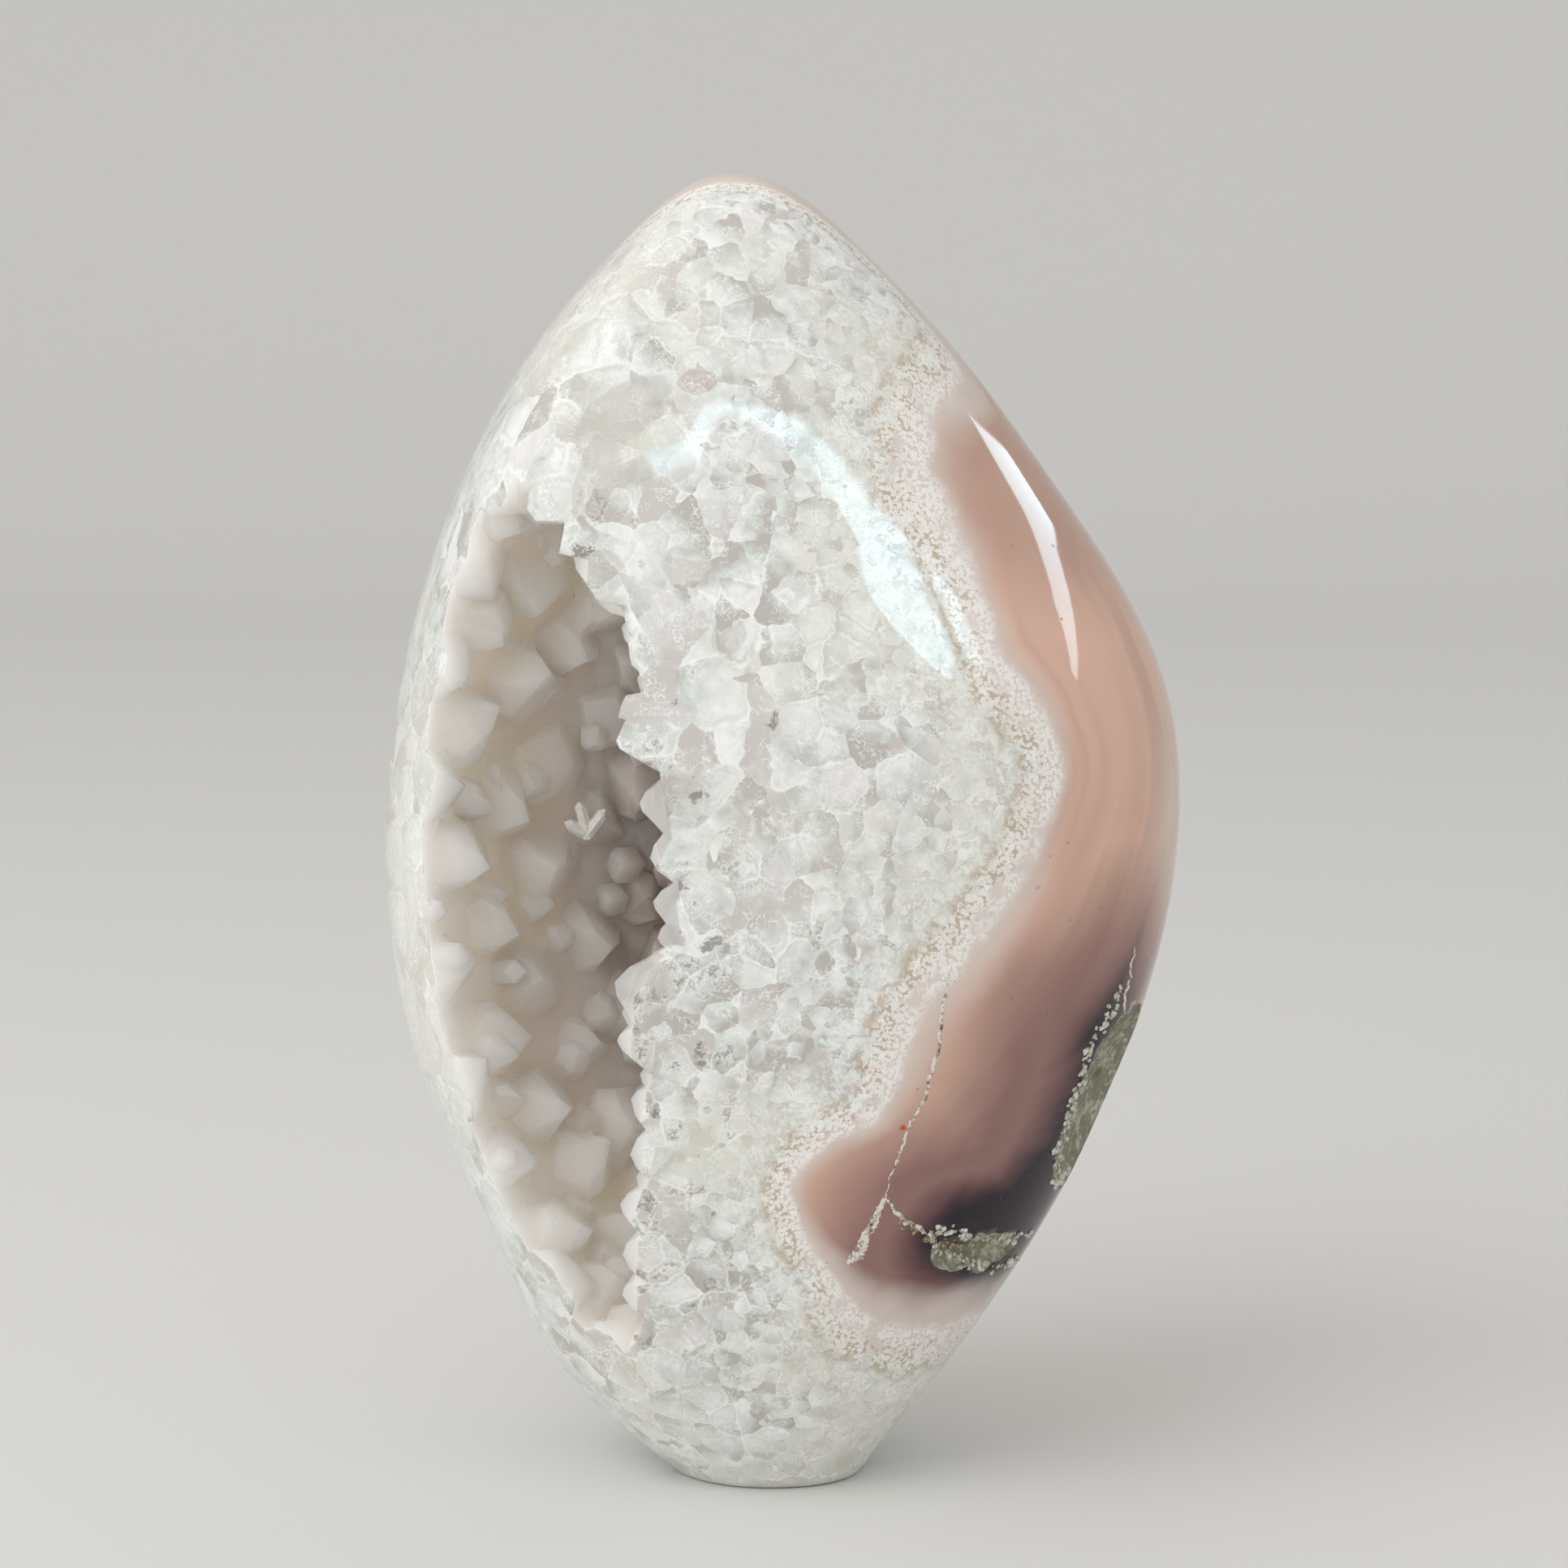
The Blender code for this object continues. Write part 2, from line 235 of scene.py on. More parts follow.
# The clear grains beside the hollow, in millimetres: how far they reach from it, how soft their
# edge is, and where on the left they begin.
RIM_REACH = 10
RIM_SOFT = 7
RIM_LEFT = -22
RIM_LEFT_SOFT = 8
# How much a crystal's place towards the back counts in its depth in the hollow, which sets its painted
# shade.
BACK_SHARE = 0.25
# Patches fade out over this depth, in millimetres, where the front turns to the sides.
FRONT_FADE = 6

# Soft patches, in view: across, up, half width, half height, turn in degrees, and strength.
PATCHES = {
    "dark": (
        (22.6, -38.0, 3.8, 3.6, 0, 0.5), (19.5, -45.8, 3.2, 1.6, 0, 0.4), (13.0, -42.0, 3.2, 2.4, 0, 0.3),
        (18.5, -38.4, 6.6, 2.2, -4, 0.4),
    ),
    "rose": (
        (25.6, 22.0, 1.8, 6.0, 24, 0.35), (7.4, -38.5, 3.0, 4.6, 0, 0.4),
        (21.4, -19.0, 3.6, 6.4, -34, 0.5),
    ),
    "ember": ((33.0, -2.9, 1.6, 3.6, -6, 0.3),),
    # Painted side light: a pale strip down the right edge of the agate, where light catches it.
    "pale_edge": ((35.8, -1.5, 1.6, 10.0, -3, 0.5),),
    "clear_grain": (
        (-14.7, 34.6, 5.2, 2.6, 30, 1.0), (-17.8, 27.6, 1.8, 3.6, -14, 1.0),
        (-11.4, 29.2, 3.4, 1.8, 12, 1.0),
        (-9.0, 20.0, 2.6, 1.8, -30, 1.0), (-5.2, 13.6, 2.2, 1.6, 40, 0.9), (-9.4, -1.8, 2.8, 2.6, 0, 1.0),
        (-17.0, 19.4, 2.4, 2.6, 0, 1.0), (-12.6, -18.2, 2.2, 2.0, 0, 1.0), (-13.0, -24.6, 1.6, 2.6, 0, 0.9),
    ),
    "tea_grain": ((-7.8, 37.2, 2.2, 1.3, 0, 1.0),),
    "smoke": (
        (-7.6, -1.1, 0.9, 0.8, 0, 1.0), (-18.9, 21.5, 1.0, 0.6, 20, 1.0), (-11.0, 7.2, 0.9, 1.0, 0, 0.9),
        (-9.5, -9.7, 0.8, 0.7, 0, 1.0), (-6.8, -14.6, 1.3, 0.7, 0, 1.0), (-11.8, -8.4, 0.5, 0.6, 0, 0.9),
        (-12.0, -30.4, 0.8, 0.6, 0, 0.8), (-0.8, 5.6, 1.4, 1.6, 20, 0.5), (3.1, -14.6, 0.8, 1.2, 30, 0.6),
    ),
}
PATCH_FALL = 0.9

# A face is polished where it lies on the form, this close to it and this much in line with it. The
# other faces are crystals, or rind to the right of this place.
SEARCH_REACH = 0.0004
POLISH_REACH = 2e-5
POLISH_LINE = 0.95
BASE_TOP = 1e-5
RIND_SIDE = 0.004

# Healed cracks, in view, with their half widths in millimetres at either end.
CRACKS = (
    (
        ((15.4, -17.2), (14.9, -19.8), (14.2, -25.1), (13.1, -28.8), (11.6, -31.8), (10.1, -35.6),
         (9.3, -38.4)), 0.24, 0.13,
    ),
    (((9.5, -37.9), (8.0, -40.9), (7.1, -43.1), (5.9, -44.6)), 0.34, 0.86),
    (((9.1, -38.0), (11.2, -40.5), (13.4, -41.6)), 0.16, 0.40),
    (((31.3, -21.4), (32.0, -17.6), (32.6, -14.6)), 0.20, 0.05),
)
# A seam, in millimetres: how long its steps are, and how far it wanders over which length.
SEAM_STEP = 0.16
SEAM_WANDER = ((0.28, 0.9), (0.12, 0.25))
# How fast it widens from its ends, and the share of its width that is left at them.
SEAM_END = (6, 0.15)
# The least share of its width, how much noise adds to that, and over which length.
SEAM_WIDTH = (0.75, 0.9, 0.45)
# How high its lumps are, and how long.
SEAM_ROUGH = (0.03, 0.2)
# Its section: shares of the half width, with their height over the polish.
SEAM_SECTION = ((-1.0, -0.03), (-0.5, 0.03), (0.5, 0.03), (1.0, -0.03), (0.0, -0.3))
# Noise is read this far apart for the cracks, so that no two wander alike.
SEAM_SPACING = 7.0

# The rust spot: its place in view, its radius in millimetres, how flat it is and how rough.
RUST_SPOT = (11.0, -31.8)
RUST_RADIUS = 0.26
RUST_FLATNESS = 0.25
RUST_ROUGHNESS = 0.3

# Bright blades deep in the hollow, in view: their root, their lean to the right in degrees with
# their length in millimetres, how much they point to the viewer, and how far they stand out.
BLADE_ROOT = (-18.2, -4.6)
BLADES = ((-64, 2.8), (-14, 3.6), (38, 3.4))
BLADE_RADIUS = 0.6
BLADE_REACH = 0.35
BLADE_STAND = 0.8

# Crumbs along the edges of the rind, in millimetres: how far they stray, how long their clumps are,
# how much a clump adds to their radius, and how flat and how rough they are. Then, for each line:
# whether they are rusty, its course in view, how far they are apart, and their least and greatest
# radius.
CRUMB_SPREAD = 0.24
CLUMP_LENGTH = 0.9
CLUMP_GROWTH = 0.12
CRUMB_FLATNESS = (0.5, 0.9)
CRUMB_ROUGHNESS = 0.9
# Noise is read this far apart for lumps in different places, so that no two are alike.
LUMP_SCATTER = 7000
CRUMB_LINES = (
    (False, (
        (31.1, -19.2), (29.7, -21.9), (28.0, -24.9), (27.6, -27.6), (26.4, -30.5), (25.4, -33.3),
        (25.2, -37.2),
    ), 0.22, 0.10, 0.34),
    (False, ((26.8, -29.9), (26.2, -31.4)), 0.20, 0.16, 0.40),
    (False, ((26.2, -35.6), (25.5, -36.4), (25.7, -37.4)), 0.20, 0.16, 0.42),
    (False, (
        (13.4, -41.5), (14.8, -41.2), (16.7, -41.8), (18.6, -42.1), (21.0, -41.9), (23.0, -41.5),
    ), 0.22, 0.10, 0.30),
    (False, (
        (13.8, -42.9), (16.0, -43.9), (17.8, -44.7), (20.2, -44.7), (22.6, -43.9),
    ), 0.22, 0.10, 0.30),
    (True, ((13.3, -42.2), (14.8, -42.4), (16.8, -42.8)), 0.22, 0.12, 0.32),
    (True, ((10.9, -40.5), (12.3, -41.5)), 0.26, 0.10, 0.26),
)

# Windows of light that the polish mirrors: their share of the brightness, their colour, and the
# outline of their reflection, in view. The polish is read as smooth over the spread.
WINDOWS = {
    "front_window": (0.65, (0.60, 0.88, 1.0), (
        (-12.8, 30.6), (-10.1, 31.4), (-9.0, 32.2), (-8.2, 33.6), (-7.5, 35.0), (-5.9, 35.2),
        (-4.1, 35.0), (1.5, 33.4), (6.5, 28.6), (9.6, 25.0), (11.6, 22.4), (12.6, 19.5),
        (13.7, 16.4), (15.4, 13.2), (16.0, 10.9), (15.3, 9.7), (14.3, 10.4), (10.2, 14.4),
        (7.8, 17.8), (7.1, 19.8), (6.8, 22.7), (5.2, 25.9), (1.2, 30.8), (-1.8, 32.8),
        (-4.4, 34.2), (-6.0, 34.2), (-7.0, 33.1), (-7.2, 31.9), (-8.1, 30.2), (-9.8, 29.6),
        (-11.5, 28.4),
    )),
    "narrow_window": (0.65, (0.70, 0.92, 1.0), (
        (13.9, 19.8), (13.8, 18.0), (15.6, 14.0), (17.3, 11.4), (18.6, 10.6), (17.1, 14.6),
        (15.8, 17.5),
    )),
    "side_window": (0.75, (0.70, 0.91, 1.0), (
        (17.2, 34.0), (20.8, 27.7), (23.1, 23.0), (23.9, 20.7), (25.1, 16.8), (26.4, 10.7),
        (27.1, 9.4), (27.0, 13.3), (26.6, 16.4), (26.0, 19.2), (25.2, 21.7), (24.8, 24.0),
        (20.8, 30.5), (19.4, 31.9), (18.1, 33.0),
    )),
}
WINDOW_DISTANCE = 0.9
MIRROR_SPREAD = 0.6

# The large soft light: degrees round from the front towards the right, degrees up, and its sides.
FILL_PLACE = (-45, 32)
FILL_DISTANCE = 0.9
FILL_SIZE = (0.8, 0.8)
ROOM_COLOUR = (1.0, 0.985, 0.965, 1.0)

CAMERA_DISTANCE = 0.40
CAMERA_RISE = math.radians(6)
CAMERA_TARGET = Vector((0.00026, 0.0, 0.0640))
VIEW_WIDTH = 0.1451


def shade(red, green, blue):
    """A colour given in screen values from 0 to 255, as the linear values that materials use."""
    return tuple(
        v / 12.92 if v <= 0.04045 else ((v + 0.055) / 1.055) ** 2.4
        for v in (red / 255, green / 255, blue / 255)
    )


def colour_property(name, description, red, green, blue):
    return bpy.props.FloatVectorProperty(
        name=name, description=description, subtype="COLOR", size=3, min=0, max=1,
        default=shade(red, green, blue),
    )


class AgateShape(bpy.types.PropertyGroup):
    """Sizes of the stone and its crystals."""

    form_rings: bpy.props.IntProperty(
        name="Form rings", description="Rings of points from the base to the tip",
        default=FORM_RINGS, min=20,
    )
    form_segments: bpy.props.IntProperty(
        name="Form segments", description="Points round each ring", default=FORM_SEGMENTS, min=24
    )
    small_points: bpy.props.IntProperty(
        name="Small crystals", description="Small quartz points between the large ones", default=200
    )
    small_radius: bpy.props.FloatProperty(
        name="Small crystal radius", description="Mean radius of the small quartz points",
        default=0.0017, min=0.0002, unit="LENGTH",
    )
    pit_roughness: bpy.props.FloatProperty(
        name="Rind roughness", description="Height of the lumps in the rough rind",
        default=0.0007, min=0, unit="LENGTH",
    )


class AgateColours(bpy.types.PropertyGroup):
    """Colours of the quartz, the agate and the rind."""

    milk: colour_property("Milky quartz", "The main colour of the cut quartz", 233, 235, 232)
    pale: colour_property("Pale quartz", "The lightest grains of quartz", 247, 249, 247)
    grey: colour_property("Grey quartz", "Cooler grains of quartz", 214, 218, 214)
    blush: colour_property("Pink quartz", "Warmer grains of quartz", 225, 218, 217)
    window: colour_property("Clear quartz", "Clear grains that look into the dark", 192, 188, 183)
    smoke: colour_property("Inclusions", "Dark flaws in the clear grains at the hollow", 128, 120, 114)
    crumb: colour_property("Fracture white", "Crumbly white lines between grains", 247, 249, 246)
    honey: colour_property("Warm quartz", "Faint warm clouds in the quartz", 226, 225, 213)
    tea: colour_property("Tea quartz", "Brownish clear grains", 192, 170, 160)
    beige: colour_property("Stained band", "The stained edge of the quartz", 190, 171, 148)
    granule: colour_property("Granules", "White granules at the edge of the agate", 252, 251, 248)
    frost: colour_property("Frost", "The pale ground between the granules", 224, 215, 210)
    haze: colour_property("Haze", "The hazy start of the agate", 222, 210, 202)
    peach: colour_property("Peach agate", "The lightest agate", 226, 187, 168)
    tan: colour_property("Tan agate", "The main colour of the agate", 200, 164, 147)
    rose: colour_property("Rose agate", "Rosy agate", 166, 129, 121)
    clay: colour_property("Clay agate", "Brownish rose agate", 132, 99, 96)
    plum: colour_property("Plum agate", "Dark plum agate", 90, 61, 65)
    night: colour_property("Darkest agate", "Nearly black agate beside the rind", 34, 27, 38)
    ember: colour_property("Red agate", "A small reddish glow in the agate", 216, 140, 122)
    rind: colour_property("Rind", "The grey green rind", 132, 132, 112)
    rind_pale: colour_property("Pale rind", "Pale parts of the rind", 180, 178, 160)
    rind_white: colour_property("White crumbs", "Crumbs along the edges of the rind", 226, 223, 214)
    rind_brown: colour_property("Brown rind", "Rusty grains in the rind", 118, 84, 52)
    seam: colour_property("Crack filling", "The dull ground of the healed cracks", 168, 150, 140)
    seam_dark: colour_property("Crack shadow", "Dark gaps in the healed cracks", 74, 54, 46)
    rust: colour_property("Rust spot", "The small rust spot", 196, 84, 40)
    druse: colour_property("Crystals at the rim", "Crystals near the opening", 242, 237, 229)
    # Painted shade: the crystals' colour deep in the hollow, darker where shade falls.
    druse_painted_shade: colour_property("Crystals inside", "Crystals deep in the hollow", 138, 119, 105)
    floor: colour_property("Floor", "The floor and the backdrop", 226, 226, 224)


class AgateLight(bpy.types.PropertyGroup):
    """Strength of the studio light."""

    window: bpy.props.FloatProperty(
        name="Windows", description="Brightness of the windows that the polish mirrors", default=13.0, min=0
    )
    fill: bpy.props.FloatProperty(
        name="Fill", description="Large soft light from the upper left", default=4.0, min=0, unit="POWER"
    )
    sky: bpy.props.FloatProperty(
        name="Room", description="Even light from all sides", default=0.71, min=0
    )


class Reading:
    """A number or colour that a node gives. Arithmetic on numbers adds Math nodes."""

    def __init__(self, recipe, socket):
        self.recipe = recipe
        self.socket = socket

    def _math(self, operation, first, second):
        return self.recipe.read("ShaderNodeMath", {"operation": operation}, {0: first, 1: second})

    def __add__(self, other):
        return self._math("ADD", self, other)

    def __sub__(self, other):
        return self._math("SUBTRACT", self, other)

    def __rsub__(self, other):
        return self._math("SUBTRACT", other, self)

    def __mul__(self, other):
        return self._math("MULTIPLY", self, other)

    __radd__ = __add__
    __rmul__ = __mul__


class Recipe:
    """A material under way: its node tree and short ways to add to it."""

    def __init__(self, name):
        self.material = bpy.data.materials.new(name)
        self.material.use_nodes = True
        self.tree = self.material.node_tree
        self.surface = self.tree.nodes["Principled BSDF"]
        self.place = self.read("ShaderNodeTexCoord", output="Object")

    def add(self, kind, settings=None, sockets=None):
        """A node with its settings, then the values or links of its sockets."""
        node = self.tree.nodes.new(kind)
        for name, value in (settings or {}).items():
            if name == "stops":
                self._set_stops(node.color_ramp, value)
            else:
                setattr(node, name, value)
        self.fill(node, sockets or {})
        return node

    def fill(self, node, sockets):
        """Sets or links sockets by name or number. A colour without its fourth number is opaque."""
        for name, value in sockets.items():
            if isinstance(value, Reading):
                self.tree.links.new(value.socket, node.inputs[name])
            elif hasattr(node.inputs[name].default_value, "__len__"):
                whole = tuple(value)
                length = len(node.inputs[name].default_value)
                node.inputs[name].default_value = whole + (1.0,) * (length - len(whole))
            else:
                node.inputs[name].default_value = value

    @staticmethod
    def _set_stops(ramp, stops):
        while len(ramp.elements) < len(stops):
            ramp.elements.new(1.0)
        for element, (place, colour) in zip(ramp.elements, stops):
            element.position = place
            element.color = (*colour, 1.0)

    def read(self, kind, settings=None, sockets=None, output=0):
        return Reading(self, self.add(kind, settings, sockets).outputs[output])

    def attribute(self, name):
        """A number written on the mesh."""
        return self.read("ShaderNodeAttribute", {"attribute_name": name}, output="Fac")

    def step(self, value, low, high):
        """0 below low and 1 above high, smooth between them."""
        return self.read(
            "ShaderNodeMapRange", {"interpolation_type": "SMOOTHSTEP"}, {0: value, 1: low, 2: high}
        )

    def between(self, value, low, high, soft):
        """1 from low to high, with soft edges outside."""
        return self.step(value, low - soft, low) * (1 - self.step(value, high, high + soft))

    def most(self, first, second):
        """The greater of two numbers."""
        return self.read("ShaderNodeMath", {"operation": "MAXIMUM"}, {0: first, 1: second})

    def ridge(self, value):
        """How far a noise is from its middle value, so that low places make thin winding lines."""
        return self.read("ShaderNodeMath", {"operation": "ABSOLUTE"}, {0: value - 0.5})

    def over(self, value, limit):
        """1 where the value is over the limit, and 0 elsewhere."""
        return self.read("ShaderNodeMath", {"operation": "GREATER_THAN"}, {0: value, 1: limit})

    def mix(self, share, first, second):
        """A mix of two colours."""
        return self.read("ShaderNodeMix", {"data_type": "RGBA"}, {0: share, 6: first, 7: second}, 2)

    def vector(self, operation, first, second):
        return self.read("ShaderNodeVectorMath", {"operation": operation}, {0: first, 1: second})

    def stretch(self, place, factors):
        return self.vector("MULTIPLY", place, factors)

    def grain(self, size, detail=2.0, roughness=0.5, place=None, output=0):
        """Noise whose lumps are about size long."""
        sockets = {
            "Vector": place or self.place, "Scale": 1 / size, "Detail": detail, "Roughness": roughness,
        }
        return self.read("ShaderNodeTexNoise", None, sockets, output)

    def cells(self, size, place=None, output="Distance"):
        """Grains of about the size given."""
        sockets = {"Vector": place or self.place, "Scale": 1 / size}
        return self.read("ShaderNodeTexVoronoi", None, sockets, output)

    def shaken(self, size, reach, place=None):
        """The place moved about by noise, so that shapes laid on it come out irregular."""
        wander = self.vector("SUBTRACT", self.grain(size, 2.0, place=place, output=1), (0.5, 0.5, 0.5))
        return self.vector("ADD", place or self.place, self.stretch(wander, (reach,) * 3))

    def bump(self, height, distance, strength=1.0):
        return self.read(
            "ShaderNodeBump", None, {"Height": height, "Distance": distance, "Strength": strength}
        )

    def finish(self, **sockets):
        """Sets the surface's own sockets, named with underscores for spaces."""
        self.fill(self.surface, {name.replace("_", " "): value for name, value in sockets.items()})
        return self.material


def to_mesh(bm, name):
    """The mesh of a bmesh, which is freed."""
    mesh = bpy.data.meshes.new(name)
    bm.to_mesh(mesh)
    bm.free()
    return mesh


def new_object(name, data):
    """An object of a mesh, light or camera, in the scene."""
    made = bpy.data.objects.new(name, data)
    bpy.context.scene.collection.objects.link(made)
    return made


def turn_at(height):
    """Where a height lies on the way from base to apex, 0 to 1. Both ends come out rounded."""
    return np.arccos(np.clip(1 - 2 * np.asarray(height, float) / HEIGHT, -1, 1)) / math.pi


def smooth_through(knots, values, at):
    """The smoothest curve through the values at the knots, read at each place in at."""
    gaps = np.diff(knots)
    rises = np.diff(values) / gaps
    ties = np.eye(len(knots))
    pull = np.zeros(len(knots))
    for i in range(1, len(knots) - 1):
        ties[i, i - 1 : i + 2] = gaps[i - 1], 2 * (gaps[i - 1] + gaps[i]), gaps[i]
        pull[i] = 6 * (rises[i] - rises[i - 1])
    bend = np.linalg.solve(ties, pull)
    k = np.clip(np.searchsorted(knots, at, side="right") - 1, 0, len(knots) - 2)
    before, after = at - knots[k], knots[k + 1] - at
    span = gaps[k]
    curve = (bend[k] * after**3 + bend[k + 1] * before**3) / (6 * span)
    curve += (values[k] / span - bend[k] * span / 6) * after
    return curve + (values[k + 1] / span - bend[k + 1] * span / 6) * before


def section(turn):
    """Left, right, front and back reach, and the ridges' place, of the section at each turn."""
    rows = np.vstack([np.array(STATIONS), (HEIGHT, APEX_X, APEX_X, 0.0, 0.0, APEX_X)])
    knots = turn_at(rows[:, 0])
    return [smooth_through(knots, rows[:, column], np.asarray(turn, float)) for column in range(1, 6)]


def form_points(turn, angle):
    """Points of the polished form. Angle 0 is the right side, a quarter turn on is the back."""
    left, right, front, back, ridge = section(turn)
    depth = SIDE_DEPTH * np.sin(math.pi * turn)
    power = 2 / np.array(SQUARENESS)[(angle // (math.pi / 2)).astype(int) % 4]
    c, s = np.cos(angle), np.sin(angle)
    across = np.sign(c) * np.abs(c) ** power * np.where(c > 0, right - ridge, ridge - left)
    along = np.sign(s) * np.abs(s) ** power * np.where(s > 0, back - depth, depth - front)
    height = HEIGHT * (1 - np.cos(math.pi * turn)) / 2
    return np.stack([ridge + across, depth + along, height + 0 * angle], axis=-1)


def form_point(turn, angle):
    """One point of the polished form."""
    return Vector(form_points(np.array(float(turn)), np.array(float(angle))).tolist())


def form_mesh(name, rings, segments, wave=0.0, inset=0.0):
    """The whole polished form, with the slight waves that hand polishing leaves."""
    turn = np.arange(rings)[:, None] / rings
    angle = 2 * math.pi * np.arange(segments)[None, :] / segments
    points = form_points(turn + 0 * angle, angle + 0 * turn).reshape(-1, 3)
    axis = np.stack([section(np.repeat(turn[:, 0], segments))[4], 0 * points[:, 1], points[:, 2]], 1)
    outward = points - axis
    outward[:, 2] = 0
    outward /= np.linalg.norm(outward, axis=1, keepdims=True)
    fade = np.clip(points[:, 2] / POLISH_FADE, 0, 1)
    waves = np.array([noise.noise(Vector(p) / POLISH_WAVE_LENGTH) for p in points])
    points = points + outward * (wave * waves * fade - inset * (fade > 0))[:, None]
    corners = [tuple(p) for p in points] + [(APEX_X, 0, HEIGHT - inset)]
    faces = [tuple(range(segments))[::-1]]
    for i in range(rings - 1):
        for j in range(segments):
            k = (j + 1) % segments
            lower, upper = i * segments, (i + 1) * segments
            faces.append((lower + j, lower + k, upper + k, upper + j))
    last = (rings - 1) * segments
    faces += [(last + j, last + (j + 1) % segments, rings * segments) for j in range(segments)]
    mesh = bpy.data.meshes.new(name)
    mesh.from_pydata(corners, [], faces)
    return mesh


def inside_form(point, margin):
    """Whether a point lies inside the polished form by about the margin."""
    if not 0 < point.z < HEIGHT:
        return False
    turn = float(turn_at(point.z))
    left, right, front, back, ridge = (float(v) for v in section(turn))
    depth = SIDE_DEPTH * math.sin(math.pi * turn)
    x, y = point.x - ridge, point.y - depth
    reach_x = (right - ridge if x > 0 else ridge - left) - margin
    reach_y = (back - depth if y > 0 else depth - front) - margin
    return reach_x > 0 and reach_y > 0 and (x / reach_x) ** 2 + (y / reach_y) ** 2 < 1


def hollow_place(direction, grow):
    """The point and outward normal of the hollow's egg, grown by grow, along a unit direction."""
    sizes = Vector((HOLLOW_WIDTH + grow, HOLLOW_DEPTH + grow, HOLLOW_HEIGHT + grow))
    turned = Matrix.Rotation(HOLLOW_TURN, 3, "Z")
    point = turned @ Vector([a * b for a, b in zip(direction, sizes)])
    normal = turned @ Vector([a / b for a, b in zip(direction, sizes)])
    point.x += HOLLOW_LEAN * point.z
    return HOLLOW_CENTRE + point, normal.normalized()


def hollow_mesh(name, grow, segments, rings):
    """The hollow's egg, grown by grow."""
    bm = bmesh.new()
    bmesh.ops.create_uvsphere(bm, u_segments=segments, v_segments=rings, radius=1)
    for vertex in bm.verts:
        vertex.co = hollow_place(vertex.co.normalized(), grow)[0]
    return to_mesh(bm, name)


def point_mesh(name, radius, length, rng):
    """One quartz point along +Z from its root to its tip."""
    bm = bmesh.new()
    bmesh.ops.create_cone(
        bm, cap_ends=True, segments=SIDES, radius1=radius, radius2=radius * POINT_TAPER, depth=2 * length
    )
    slant = Vector((math.sin(TIP_SLOPE), 0, math.cos(TIP_SLOPE)))
    for k in range(SIDES):
        rise = (SMALL_FACE_RISE if k % 2 else 0.0) + rng.uniform(*FACE_WANDER)
        cut_height = length + radius * rise
        bmesh.ops.bisect_plane(
            bm,
            geom=bm.verts[:] + bm.edges[:] + bm.faces[:],
            plane_co=Vector((0, 0, cut_height)),
            plane_no=Matrix.Rotation(math.radians(360 / SIDES * k + FIRST_FACE), 3, "Z") @ slant,
            clear_outer=True,
            dist=1e-7,
        )
        open_edges = [edge for edge in bm.edges if edge.is_boundary]
        if open_edges:
            bmesh.ops.contextual_create(bm, geom=open_edges)
    return to_mesh(bm, name)


def place_point(group, root, axis, radius, length, rng, facing=None):
    """Adds one quartz point, rooted at root and pointing along axis, with a face turned to facing."""
    made = bpy.data.objects.new("quartz_point", point_mesh("quartz_point", radius, length, rng))
    group.objects.link(made)
    aim = axis.to_track_quat("Z", "Y").to_matrix()
    spin = rng.uniform(0, math.pi / 3)
    if facing is not None:
        towards = aim.inverted() @ facing
        spin = math.atan2(towards.y, towards.x) - math.radians(FIRST_FACE)
    made.matrix_world = Matrix.Translation(root) @ aim.to_4x4() @ Matrix.Rotation(spin, 4, "Z")


def even_directions(count):
    """Unit directions spread evenly over a sphere."""
    golden = math.pi * (3 - math.sqrt(5))
    for i in range(count):
        up = 1 - 2 * (i + 0.5) / count
        flat = math.sqrt(1 - up * up)
        yield Vector((flat * math.cos(i * golden), flat * math.sin(i * golden), up))


def wall_points(group, rng):
    """The large quartz points on the wall of the hollow, each tilted a little."""
    for direction in even_directions(WALL_POINTS):
        root, normal = hollow_place(direction, CRUST_THICKNESS)
        wander = Vector([rng.gauss(0, POINT_TILT) for _ in range(3)])
        radius = rng.uniform(*POINT_RADIUS)
        length = rng.uniform(*POINT_LENGTH)
        if inside_form(root, WALL_MARGIN):
            place_point(group, root, (wander - normal).normalized(), radius, length, rng)


def front_surface(x, height):
    """The depth of the polished form's front at a place seen from the front."""
    turn = float(turn_at(height))
    left, right, front, _, ridge = (float(v) for v in section(turn))
    reach = right - ridge if x > ridge else ridge - left
    power = SQUARENESS[3] if x > ridge else SQUARENESS[2]
    share = min(abs(x - ridge) / reach, 1.0)
    depth = SIDE_DEPTH * math.sin(math.pi * turn)
    return depth - (depth - front) * (1 - share**power) ** (1 / power)


def rim_points(group, places, rng):
    """The points whose cut sections make the front rim of the hollow."""
    for height, reach, radius, lift in places:
        length = RIM_LENGTH * radius
        lift = math.radians(lift)
        flat = math.cos(lift)
        axis = Vector((-math.cos(RIM_LEAN) * flat, math.sin(RIM_LEAN) * flat, math.sin(lift)))
        tip = Vector((reach, front_surface(reach, height) + RIM_INSET * radius, height))
        place_point(group, tip - axis * length, axis, radius, length, rng, Vector((0, -1, 0)))


def gap_points(rng):
    """Smaller points between the rim's own ones, so that no deep notch is left."""
    rows = sorted(MILKY_RIM_POINTS + CLEAR_RIM_POINTS)
    points = []
    for low, high in zip(rows, rows[1:]):
        share = rng.uniform(*RIM_GAP_SHARE)
        height = low[0] + (high[0] - low[0]) * share
        reach = low[1] + (high[1] - low[1]) * share + rng.uniform(*RIM_GAP_INSET)
        points.append((height, reach, rng.uniform(*RIM_GAP_RADIUS), low[3]))
    return points


